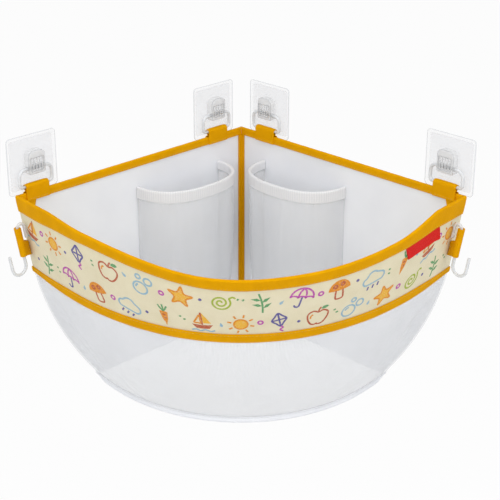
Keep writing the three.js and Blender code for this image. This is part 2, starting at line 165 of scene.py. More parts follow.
def ease(x):
    """Smooth from 0 to 1, and level on both sides."""
    x = min(1.0, max(0.0, x))
    return x * x * (3 - 2 * x)


def seam(turn, reach, bulge, drop):
    """A point of a seam round the front, as distance from the corner and height."""
    return Vector((reach - wall_gap + bulge * swell(turn) ** 1.25, -drop))


def rim(turn):
    """Level beside the walls, then down over a shoulder and sagging, sooner on the right."""
    shoulder = rim_shoulder * ease((swell(turn) - level_until) / shoulder_run)
    loose = max(0.0, swell(turn) - level_until) / (1 - level_until)
    lateness = 1.05 + 1.55 * ease(3 * turn / quarter - 1)
    return seam(turn, rim_reach, rim_bulge, shoulder + rim_sag * loose**lateness)


def band_foot(turn):
    drop = band_drop + band_drop_more * swell(turn) ** 1.1
    return seam(turn, rim_reach - band_slope, foot_bulge, drop)


def base_edge(turn):
    return seam(turn, base_reach, base_bulge, bag_depth)


def off_face(down):
    return Vector((-down.y, down.x))


def band_line(turn, below, out):
    """A point of the band's outer face, as distance from the corner and height."""
    top = rim(turn)
    down = (band_foot(turn) - top).normalized()
    return top + down * below + off_face(down) * out


def skirt_line(turn, share, out):
    """A point of the skirt's outer face, from the band's foot (0) to the base (1)."""
    top, foot = band_foot(turn), base_edge(turn)
    belly = Vector((top.x - (top.x - foot.x) * skirt_belly, (top.y + foot.y) / 2))
    point = top * (1 - share) ** 2 + belly * (2 * share * (1 - share)) + foot * share**2
    down = ((belly - top) * (1 - share) + (foot - belly) * share).normalized()
    return point + off_face(down) * out


def on_front(turn, p):
    return Vector((wall_gap + p.x * math.cos(turn), -wall_gap - p.x * math.sin(turn), p.y))


def on_wall(side, u, z, d):
    """A point by a wall: u out from the corner, z up and d off the wall."""
    return Vector((u, -d, z)) if side == "right" else Vector((d, -u, z))


def steps(start, end, count):
    return [start + (end - start) * i / count for i in range(count + 1)]


def smooth(made, degrees):
    """Shades a piece smooth, apart from the edges that are sharper than this."""
    bpy.ops.object.select_all(action="DESELECT")
    made.select_set(True)
    bpy.context.view_layer.objects.active = made
    bpy.ops.object.shade_smooth_by_angle(angle=math.radians(degrees))


def new_mesh(name, points, faces, finish):
    """A mesh object of points in millimetres, facing out, smooth apart from its folded edges."""
    mesh = bpy.data.meshes.new(name)
    mesh.from_pydata([p * 0.001 for p in points], [], faces)
    volume = sum(
        points[f[0]].dot(points[f[k]].cross(points[f[k + 1]])) for f in faces for k in range(1, len(f) - 1)
    )
    if volume < 0:
        mesh.flip_normals()
    made = bpy.data.objects.new(name, mesh)
    bpy.context.scene.collection.objects.link(made)
    mesh.materials.append(finish)
    smooth(made, 42)
    return made


def cloth_strip(name, stations, faces_at, finish):
    """A closed piece of cloth: faces_at gives the points of its outer and inner face at each station.
    The UV map Cloth holds real lengths in metres, along the stations and across them."""
    rings = [faces_at(s) for s in stations]
    count = len(rings[0][0])
    stride = 2 * count
    points = [p for outer, inner in rings for p in (*outer, *inner)]
    faces = []
    for i in range(len(rings) - 1):
        a, b = i * stride, (i + 1) * stride
        for k in range(count - 1):
            m = count + k
            faces.append((a + k, a + k + 1, b + k + 1, b + k))
            faces.append((a + m + 1, a + m, b + m, b + m + 1))
        faces.append((a, b, b + count, a + count))
        faces.append((a + stride - 1, b + stride - 1, b + count - 1, a + count - 1))
    last = (len(rings) - 1) * stride
    for k in range(count - 1):
        faces.append((k, k + count, k + count + 1, k + 1))
        faces.append((last + k, last + k + 1, last + k + count + 1, last + k + count))
    made = new_mesh(name, points, faces, finish)
    along, across = [0.0], [0.0]
    middle = rings[len(rings) // 2][0]
    for i in range(1, len(rings)):
        along.append(along[-1] + (rings[i][0][count // 2] - rings[i - 1][0][count // 2]).length)
    for k in range(1, count):
        across.append(across[-1] + (middle[k] - middle[k - 1]).length)
    layer = made.data.uv_layers.new(name="Cloth")
    for loop in made.data.loops:
        i, k = loop.vertex_index // stride, loop.vertex_index % count
        layer.data[loop.index].uv = (along[i] * 0.001, across[k] * 0.001)
    return made


def fold(half_gap, thickness, front, back, rows=5):
    """The outer and inner line of a tape folded over an edge: across the fold, and up from its centre."""
    turns = steps(0, math.pi, 10)
    outer_radius = half_gap + thickness
    fronts, backs = steps(-front, 0, rows)[:-1], steps(0, -back, rows)[1:]
    lines = []
    for radius in (outer_radius, half_gap):
        line = [Vector((radius, y)) for y in fronts]
        line += [Vector((radius * math.cos(a), radius * math.sin(a))) for a in turns]
        line += [Vector((-radius, y)) for y in backs]
        lines.append(line)
    return lines


def stitch_row(name, holes, ups, finish):
    """Lockstitch: one short raised thread between each pair of needle holes. Each ring of a thread has its
    share of the way to the next hole, its height over the cloth and its radius."""
    rings = ((0.2, -0.05, 0.16), (0.35, 0.1, 0.33), (0.65, 0.1, 0.33), (0.8, -0.05, 0.16))
    sides = 5
    points, faces = [], []
    for start, end, up in zip(holes, holes[1:], ups):
        ahead = end - start
        across = ahead.cross(up).normalized()
        base = len(points)
        for share, rise, radius in rings:
            centre = start + ahead * share + up * rise
            for i in range(sides):
                a = 2 * math.pi * i / sides
                points.append(centre + across * (radius * math.cos(a)) + up * (radius * math.sin(a)))
        for ring in range(len(rings) - 1):
            for i in range(sides):
                a, b = base + ring * sides + i, base + ring * sides + (i + 1) % sides
                faces.append((a, b, b + sides, a + sides))
        faces.append(tuple(base + i for i in reversed(range(sides))))
        faces.append(tuple(base + 3 * sides + i for i in range(sides)))
    return new_mesh(name, points, faces, finish)


def holes_along(line):
    """Needle holes at the stitch pitch along a line of points."""
    spent, holes = 0.0, [line[0]]
    for a, b in zip(line, line[1:]):
        length = (b - a).length
        while spent + length >= stitch_pitch:
            a = a + (b - a) * ((stitch_pitch - spent) / length)
            length = (b - a).length
            spent = 0.0
            holes.append(a)
        spent += length
    return holes


def dress(piece, slot, *nodes):
    """The piece rides on the bag and stands for its solids, which it hides. The slot is not used."""
    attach(piece, "bag")
    if nodes:
        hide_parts(*nodes)
    return piece


def sew(name, line, up_at, slot):
    """A row of lockstitch along a line of points; up_at gives the way off the cloth at a needle hole."""
    holes = holes_along(line)
    return dress(stitch_row(name, holes, [up_at(hole) for hole in holes], threads[slot]), slot)


def uneven(amount, x, y, part):
    """A soft unevenness of the cloth, up to this amount. Each part of the bag has its own."""
    return amount * noise.noise(Vector((x, y, part)))


def wave_scale(spacing):
    """The scale of a wave texture whose threads are this many millimetres apart."""
    return math.tau / 20 / (spacing * 0.001)


def patch_scale(width):
    """The scale of a noise texture whose patches are about this many millimetres wide."""
    return 1 / (width * 0.001)


# Coated oxford cloth: a plain weave under a thin matt coating, so the threads show as a faint grid and
# the cloth keeps soft creases. The real threads are 0.4 mm apart; they are drawn 1.3 mm apart to show.
white_cloth, shader = new_finish("coated_oxford_cloth")
lengths = node(white_cloth, "UVMap", uv_map="Cloth")
by_threads = {"Vector": lengths, "Scale": wave_scale(1.3)}
weft, warp = (node(white_cloth, "TexWave", by_threads, "Fac", bands_direction=way) for way in "XY")
weave = node(white_cloth, "Math", {0: weft, 1: warp}, operation="MULTIPLY")
by_creases = {"Vector": lengths, "Scale": patch_scale(50), "Detail": 2.0, "Roughness": 0.4}
crease = node(white_cloth, "TexNoise", by_creases, "Fac")
cast = node(white_cloth, "MapRange", {"Value": crease, "From Min": 0.3, "From Max": 0.7}, clamp=True)
tint = node(white_cloth, "Mix", {0: cast, 6: srgb("eaecf1"), 7: srgb("f1f3f7")}, 2, data_type="RGBA")
matt = node(white_cloth, "MapRange", {"Value": weave, "To Min": 0.78, "To Max": 0.62})
soft = node(white_cloth, "Bump", {"Height": crease, "Strength": 0.12, "Distance": 0.003})
fine = node(white_cloth, "Bump", {"Height": weave, "Normal": soft, "Strength": 0.25, "Distance": 0.0003})
feed(shader, {"Base Color": tint, "Roughness": matt, "Sheen Weight": 0.12, "Normal": fine})

# Woven polyester tape: close ribs across the tape, a slight sheen, and dye that takes a little unevenly.
# The ribs are drawn 1.1 mm apart, about twice the real spacing, to show.
mustard_tape, shader = new_finish("woven_polyester_tape")
lengths = node(mustard_tape, "UVMap", uv_map="Cloth")
by_ribs = {"Vector": lengths, "Scale": wave_scale(1.1), "Distortion": 0.5}
ribs = node(mustard_tape, "TexWave", by_ribs, "Fac", bands_direction="X")
by_yarn = {"Vector": lengths, "Scale": wave_scale(0.917)}
yarn = node(mustard_tape, "TexWave", by_yarn, "Fac", bands_direction="Y")
woven = node(mustard_tape, "Math", {0: ribs, 1: yarn}, operation="MULTIPLY")
dye = node(mustard_tape, "TexNoise", {"Vector": lengths, "Scale": patch_scale(16.7), "Detail": 4.0}, "Fac")
dyed = node(mustard_tape, "Math", {0: dye, 1: woven}, operation="ADD")
depth = node(mustard_tape, "MapRange", {"Value": dyed, "From Min": 0.35, "From Max": 1.2})
tint = node(mustard_tape, "Mix", {0: depth, 6: srgb("d79700"), 7: srgb("eeac00")}, 2, data_type="RGBA")
matt = node(mustard_tape, "MapRange", {"Value": woven, "To Min": 0.75, "To Max": 0.5})
cords = node(mustard_tape, "Bump", {"Height": woven, "Strength": 0.5, "Distance": 0.0004})
feed(shader, {"Base Color": tint, "Roughness": matt, "Specular IOR Level": 0.04, "Normal": cords})

# Spun polyester thread in two colours, for the tape and for the white cloth, with the twist of its plies
threads = {}
for thread_slot, thread_name, light, dark in (
    ("mustard_tape", "spun_thread_mustard", "f0bb24", "b98200"),
    ("white_cloth", "spun_thread_white", "f6f6f6", "c9c9cd"),
):
    thread, shader = new_finish(thread_name)
    place = node(thread, "TexCoord", out="Object")
    plies = node(thread, "TexNoise", {"Vector": place, "Scale": patch_scale(1.11), "Detail": 2.0}, "Fac")
    tint = node(thread, "Mix", {0: plies, 6: srgb(dark), 7: srgb(light)}, 2, data_type="RGBA")
    feed(shader, {"Base Color": tint, "Roughness": 0.55, "Sheen Weight": 0.2})
    threads[thread_slot] = thread

# Where the panel meets the inside of the band, its tape and the skirt
inside = band_thickness + seat
inside_tape = inside + tape_thickness + seat
front_line = [band_line(0, below, -inside_tape) for below in steps(0, rim_tape_inside + seat, 3)]
cloth_from = rim_tape_inside + 1.5
front_line += [band_line(0, below, -inside) for below in steps(cloth_from, band_length_at_wall, 12)]
front_line += [skirt_line(0, share, -inside) for share in steps(0.05, 1, 24)]
front_edge = [(wall_gap + p.x, p.y) for p in front_line]
rear_edge = panel_front + seat + tape_thickness + seat


def front_edge_at(z):
    for (u0, z0), (u1, z1) in zip(front_edge, front_edge[1:]):
        if z1 <= z <= z0:
            return u0 + (u1 - u0) * (z0 - z) / (z0 - z1)
    return front_edge[0][0] if z > front_edge[0][1] else front_edge[-1][0]


def slack(u, z):
    """How far the hung cloth sinks towards the wall: soft creases that die out at the seams."""
    from_sides = ease((u - rear_edge) / 30) * ease((front_edge_at(z) - u) / 30)
    from_ends = ease(-z / 28) * ease((bag_depth + z) / 28)
    creases = uneven(0.9, u / 70, z / 45, 3.1) + uneven(0.4, u / 24, z / 60, 7.7)
    return from_sides * from_ends * min(0.1, creases - 0.3)


tape_middle = wall_gap + panel_thickness / 2
tape_front = tape_middle + panel_thickness / 2 + seat + tape_thickness
tape_end = wall_gap + band_line(0, wall_tape_height, -inside_tape).x
tape_lines = fold(panel_thickness / 2 + seat, tape_thickness, wall_tape_height, wall_tape_height)
for side in ("right", "left"):

    def panel_faces(z):
        across = steps(rear_edge, front_edge_at(z), 56)
        return [[on_wall(side, u, z, d + slack(u, z)) for u in across] for d in (panel_front, wall_gap)]

    panel = cloth_strip("wall_cloth_" + side, steps(0, -bag_depth, 60), panel_faces, white_cloth)
    dress(panel, "white_cloth", "back_panel_" + side)

    def tape_faces(share):
        held = ease(share * 60) * ease((1 - share) * 60)
        faces = []
        for line in tape_lines:
            face = []
            for p in line:
                d = tape_middle + p.x
                tail = 0.0
                if p.x > 0 and p.y < 0:
                    tail = tail_depth * ease((share * tape_end - tail_from) / tail_run)
                z = p.y * (1 + tail / wall_tape_height)
                end = wall_gap + band_line(0, -z, -inside_tape).x - mitre_gap
                u = d + mitre_gap + (end - d - mitre_gap) * share
                pull = uneven(0.12, u / 7, p.y / 6, 1.7) * held
                face.append(on_wall(side, u, z + pull, d + pull * (0.6 if p.x > 0 else -0.6)))
            faces.append(face)
        return faces

    wall_tape = cloth_strip("wall_tape_" + side, steps(0, 1, 120), tape_faces, mustard_tape)
    dress(wall_tape, "mustard_tape", "wall_rim_binding_" + side)

    off_wall = on_wall(side, 0, 0, 1)
    row = [on_wall(side, u, 1.6 - wall_tape_height, tape_front) for u in steps(14, tape_end - 2, 200)]
    stitches = sew("wall_tape_stitches_" + side, row, lambda hole: off_wall, "mustard_tape")

# The tape down the rear corner: mustard tape folded into the angle of the two panels and sewn to both,
# with a leg of about 5 mm lying on each panel and its fold filling the gap between them.
corner_leg = panel_front + 5.4
leg_face = panel_front + seat
leg_front = leg_face + tape_thickness
corner_top = -wall_tape_height - seat


def corner_line(face, bend, middle):
    """The tape's line in plan: along one leg, round the corner, and along the other leg."""
    leg = [corner_leg, *steps(corner_leg - 1, leg_face + bend, 3)]
    line = [Vector((x, face)) for x in leg]
    line.append(Vector((middle, middle)))
    return line + [Vector((face, x)) for x in reversed(leg)]


corner_outer = corner_line(leg_front, 1.9, leg_face + 1.25)
corner_inner = corner_line(leg_face, 1.2, wall_gap + 0.4)


def corner_faces(z):
    lift = uneven(0.1, z / 9, 2.3, 0.4)
    outer = [Vector((p.x + lift, -p.y - lift, z)) for p in corner_outer]
    return outer, [Vector((p.x, -p.y, z)) for p in corner_inner]


corner_tape = cloth_strip("corner_tape", steps(corner_top, -bag_depth, 90), corner_faces, mustard_tape)
dress(corner_tape, "mustard_tape", "rear_corner_binding")
for side in ("right", "left"):
    off_wall = on_wall(side, 0, 0, 1)
    heights = steps(corner_top - 2, 2 - bag_depth, 80)
    row = [on_wall(side, corner_leg - 1.3, z, leg_front) for z in heights]
    sew("corner_stitches_" + side, row, lambda hole: off_wall, "mustard_tape")


# The wall pockets: one piece of fine polyester mesh on each wall, sewn to the panel round its sides and
# foot and standing open in front. A white elastic hem is folded over the mouth and gathers it slightly.
pocket_centre, pocket_half, pocket_reach, pocket_squareness = 105, 60, 50, 2.5
pocket_top, pocket_height = 31, 150
hem_height, hem_inside, hem_thickness = 11, 8, 1.0

# Knitted mesh: fine white threads with open holes between them, so that it reads as a frosted film from
# afar. The real threads are about 0.8 mm apart; they are drawn 1.3 mm apart, with some haze in the holes.
frosted_mesh, shader = new_finish("fine_polyester_mesh")
lengths = node(frosted_mesh, "UVMap", uv_map="Cloth")
by_threads = {"Vector": lengths, "Scale": wave_scale(1.3)}
weft, warp = (node(frosted_mesh, "TexWave", by_threads, "Fac", bands_direction=way) for way in "XY")
net = node(frosted_mesh, "Math", {0: weft, 1: warp}, operation="MAXIMUM")
by_holes = {"Value": net, "From Min": 0.5, "From Max": 0.95, "To Min": 0.16, "To Max": 0.5}
cover = node(frosted_mesh, "MapRange", by_holes, interpolation_type="SMOOTHSTEP")
haze = node(frosted_mesh, "TexNoise", {"Vector": lengths, "Scale": patch_scale(45.5), "Detail": 2.0}, "Fac")
patchy = node(frosted_mesh, "MapRange", {"Value": haze, "To Min": 0.9, "To Max": 1.1})
veil = node(frosted_mesh, "Math", {0: cover, 1: patchy}, operation="MULTIPLY")
tint = node(frosted_mesh, "Mix", {0: net, 6: srgb("e6e9ee"), 7: srgb("f7f8fa")}, 2, data_type="RGBA")
matt = node(frosted_mesh, "MapRange", {"Value": net, "To Min": 0.35, "To Max": 0.55})
knit = node(frosted_mesh, "Bump", {"Height": net, "Strength": 0.15, "Distance": 0.0003})
feed(shader, {"Base Color": tint, "Alpha": veil, "Roughness": matt, "Normal": knit})

# Knitted elastic: white ribs across the hem, gathered by its rubber threads
white_elastic, shader = new_finish("white_knitted_elastic")
lengths = node(white_elastic, "UVMap", uv_map="Cloth")
by_gathers = {"Vector": lengths, "Scale": wave_scale(2.6), "Distortion": 1.5, "Detail": 1.0}
gather = node(white_elastic, "TexWave", by_gathers, "Fac", bands_direction="X")
by_rubber = {"Vector": lengths, "Scale": wave_scale(2.2)}
rubber = node(white_elastic, "TexWave", by_rubber, "Fac", bands_direction="Y")
ribbed = node(white_elastic, "Math", {0: gather, 1: rubber}, operation="ADD")
tint = node(white_elastic, "Mix", {0: gather, 6: srgb("e6e7ea"), 7: srgb("efeff1")}, 2, data_type="RGBA")
matt = node(white_elastic, "MapRange", {"Value": gather, "To Min": 0.8, "To Max": 0.6})
ribs = node(white_elastic, "Bump", {"Height": ribbed, "Strength": 0.16, "Distance": 0.0004})
feed(shader, {"Base Color": tint, "Alpha": 0.9, "Roughness": matt, "Normal": ribs})


def lobe(value, power):
    return math.copysign(abs(value) ** (2 / power), value)


def pocket_point(side, turn, out, z):
    """A point of the pocket, so far out from its inner face, with the mouth's small gathers."""
    sunk = max(0.0, -pocket_top - z) / (pocket_height + out)
    drawn_in = max(0.0, 1 - sunk**5) ** 0.2
    free = math.sin(turn) ** 0.7 if 0 < turn < math.pi else 0.0
    at_mouth = 0.16 * math.sin(turn * 37) * (1 - ease(sunk * 3.5))
    below_hem = 1.1 * math.sin(turn * 9 + 0.6) * ease(sunk * 4)
    ripple = (at_mouth + below_hem) * free * (1 - sunk**4)
    u = (pocket_half + out + ripple * 0.6) * lobe(math.cos(turn), pocket_squareness)
    d = (pocket_reach + out + ripple) * lobe(math.sin(turn), pocket_squareness) * drawn_in
    return on_wall(side, pocket_centre + u, z, panel_front + seat + max(d, 0.0))


sinks = [lobe(math.sin(a), 5) for a in steps(0, quarter, 26)]
hem_lines = fold(mesh_thickness / 2 + seat, hem_thickness, hem_height, hem_inside)
hem_face = mesh_thickness + seat + hem_thickness
sewn_at = 1.8 - hem_height - pocket_top
for side in ("right", "left"):

    def pocket_faces(turn):
        return [
            [pocket_point(side, turn, out, -pocket_top - (pocket_height + out) * sink) for sink in sinks]
            for out in (mesh_thickness, 0)
        ]

    pocket = cloth_strip("pocket_mesh_" + side, steps(0, math.pi, 110), pocket_faces, frosted_mesh)
    dress(pocket, "frosted_mesh", "bottle_pocket_" + side)

    def hem_faces(turn):
        middle = mesh_thickness / 2
        return [
            [pocket_point(side, turn, p.x + middle, p.y - pocket_top) for p in line] for line in hem_lines
        ]

    hem = cloth_strip("pocket_elastic_" + side, steps(0, math.pi, 150), hem_faces, white_elastic)
    dress(hem, "white_cloth", "pocket_hem_" + side)

    pocket_middle = on_wall(side, pocket_centre, sewn_at, panel_front)

    def from_middle(hole):
        return (hole - pocket_middle).normalized()

    row = [pocket_point(side, turn, hem_face, sewn_at) for turn in steps(0.12, math.pi - 0.12, 160)]
    stitches = sew("hem_stitches_" + side, row, from_middle, "white_cloth")


# The front band: one long cut of printed cotton-polyester cloth, bowed out between the two walls and
# taut between its two seams. The inside is the same cloth, unprinted.
band_turns = steps(0, quarter, 150)
rim_tape_at_wall, rim_tape_less_left, rim_tape_middle = 18, 2.5, 10.4
foot_tape_above, foot_tape_below = 7.5, 3.5


def band_length(turn):
    return (band_foot(turn) - rim(turn)).length


def rim_tape_drop(turn):
    """How far the rim tape comes down the band: further beside the walls, and most on the right."""
    at_wall = rim_tape_at_wall - rim_tape_less_left * turn / quarter
    return at_wall + (rim_tape_middle - at_wall) * ease((swell(turn) - 0.25) / 0.4)


def band_face(turn, below, out):
    """A point off the dressed band's outer face, which swells a little between its seams."""
    share = below / band_length(turn)
    crown = 1.5 * math.sin(math.pi * min(1.0, max(0.0, share))) * ease(swell(turn) * 2.5)
    ripple = uneven(0.55, turn * 11, share * 1.6, 5.2) * ease(swell(turn) * 3)
    held = ease((share - 0.1) * 6) * ease((0.96 - share) * 8)
    return on_front(turn, band_line(turn, below, (crown + ripple) * held + out))


# Printed cloth: a close plain weave, cream, with a dry matt hand. Threads are drawn 0.9 mm apart to show.
cream_cloth, shader = new_finish("printed_cream_cloth")
lengths = node(cream_cloth, "UVMap", uv_map="Cloth")
by_threads = {"Vector": lengths, "Scale": wave_scale(0.9)}
weft, warp = (node(cream_cloth, "TexWave", by_threads, "Fac", bands_direction=way) for way in "XY")
weave = node(cream_cloth, "Math", {0: weft, 1: warp}, operation="MULTIPLY")
by_slubs = {"Vector": lengths, "Scale": patch_scale(22.2), "Detail": 5.0, "Roughness": 0.6}
slub = node(cream_cloth, "TexNoise", by_slubs, "Fac")
mottle = node(cream_cloth, "Math", {0: slub, 1: weave}, operation="ADD")
shade = node(cream_cloth, "MapRange", {"Value": mottle, "From Min": 0.35, "From Max": 1.25})
tint = node(cream_cloth, "Mix", {0: shade, 6: srgb("dbd0ad"), 7: srgb("eee6cb")}, 2, data_type="RGBA")
matt = node(cream_cloth, "MapRange", {"Value": weave, "To Min": 0.9, "To Max": 0.7})
grain = node(cream_cloth, "Bump", {"Height": weave, "Strength": 0.3, "Distance": 0.0003})
feed(shader, {"Base Color": tint, "Roughness": matt, "Sheen Weight": 0.1, "Normal": grain})


def band_faces(turn):
    belows = steps(0, band_length(turn) - seat, 26)
    return [[band_face(turn, below, out) for below in belows] for out in (0, -band_thickness)]


band = cloth_strip("printed_band", band_turns, band_faces, cream_cloth)
dress(band, "printed_cloth", "front_band")

# The print: loose hand-drawn pictures in two staggered rows, with small marks between them. Each ink is
# its own layer, laid a tenth of a millimetre on the cloth, and the tapes and label cover it at the seams.
inks = {
    "orange": "db8a1f",
    "brick": "b4583a",
    "yellow": "e8b13a",
    "magenta": "b84ca8",
    "blue": "8fb2c6",
    "green": "5e9a66",
    "lime": "a0b13a",
    "violet": "5a5595",
}
ink_points = {ink: [] for ink in inks}
ink_faces = {ink: [] for ink in inks}
middle_line = [band_face(turn, band_length(turn) / 2, 0) for turn in band_turns]
middle_run = [0.0]
for a, b in zip(middle_line, middle_line[1:]):
    middle_run.append(middle_run[-1] + (b - a).length)


def turn_at(run):
    """The turn at a length along the middle of the band, from the right wall."""
    for i in range(1, len(middle_run)):
        if run <= middle_run[i]:
            part = (run - middle_run[i - 1]) / (middle_run[i] - middle_run[i - 1])
            return band_turns[i - 1] + (band_turns[i] - band_turns[i - 1]) * part
    return band_turns[-1]


def arc(x, y, radius, start, end, count=12, flat=1.0):
    turns = [math.radians(a) for a in steps(start, end, count)]
    return [(x + radius * math.cos(a), y + radius * flat * math.sin(a)) for a in turns]


def flowing(points, closed):
    """The points joined by a smooth curve, as a pen would."""
    count = len(points)
    curve = []
    for i in range(count if closed else count - 1):
        at = [(i + k) % count if closed else min(count - 1, max(0, i + k)) for k in (-1, 0, 1, 2)]
        p0, p1, p2, p3 = (Vector(points[k]) for k in at)
        for t in steps(0, 1, 4)[:-1]:
            bend = (p2 - p0) * t + (p0 * 2 - p1 * 5 + p2 * 4 - p3) * t**2
            bend += (p1 * 3 - p0 - p2 * 3 + p3) * t**3
            curve.append(p1 + bend * 0.5)
    return curve if closed else [*curve, Vector(points[-1])]


def pen(ink, width, points, closed, place):
    """One pen stroke: a flat ribbon of ink along the points."""
    line = flowing(points, closed)
    count = len(line)
    base = len(ink_points[ink])
    for i, p in enumerate(line):
        before = line[i - 1] if closed or i else line[0]
        after = line[(i + 1) % count] if closed or i < count - 1 else line[-1]
        ahead = (after - before).normalized()
        half = Vector((-ahead.y, ahead.x)) * width / 2
        for q, lift in ((p + half, 0.12), (p - half, 0.12), (p - half, -0.05), (p + half, -0.05)):
            ink_points[ink].append(place(q, lift))
    for i in range(count if closed else count - 1):
        a, b = base + 4 * i, base + 4 * ((i + 1) % count)
        for k in range(4):
            m = (k + 1) % 4
            ink_faces[ink].append((a + k, b + k, b + m, a + m))
    if not closed:
        end = base + 4 * (count - 1)
        ink_faces[ink].append((base, base + 1, base + 2, base + 3))
        ink_faces[ink].append((end + 3, end + 2, end + 1, end))


def brush(ink, points, place):
    """One filled shape: rings of ink from its outline in to its middle."""
    outline = [Vector(p) for p in points]
    count = len(outline)
    centre = sum(outline, Vector((0, 0))) / count
    base = len(ink_points[ink])
    shares = (1.0, 0.66, 0.33)
    for lift in (0.08, -0.05):
        for share in shares:
            for p in outline:
                ink_points[ink].append(place(centre + (p - centre) * share, lift))
        ink_points[ink].append(place(centre, lift))
    half = 3 * count + 1
    for i in range(count):
        j = (i + 1) % count
        for ring in range(2):
            a, b = base + ring * count, base + (ring + 1) * count
            ink_faces[ink].append((a + i, a + j, b + j, b + i))
            ink_faces[ink].append((half + a + j, half + a + i, half + b + i, half + b + j))
        a, top = base + 2 * count, base + 3 * count
        ink_faces[ink].append((a + i, a + j, top))
        ink_faces[ink].append((half + a + j, half + a + i, half + top))
        ink_faces[ink].append((base + j, base + i, half + base + i, half + base + j))


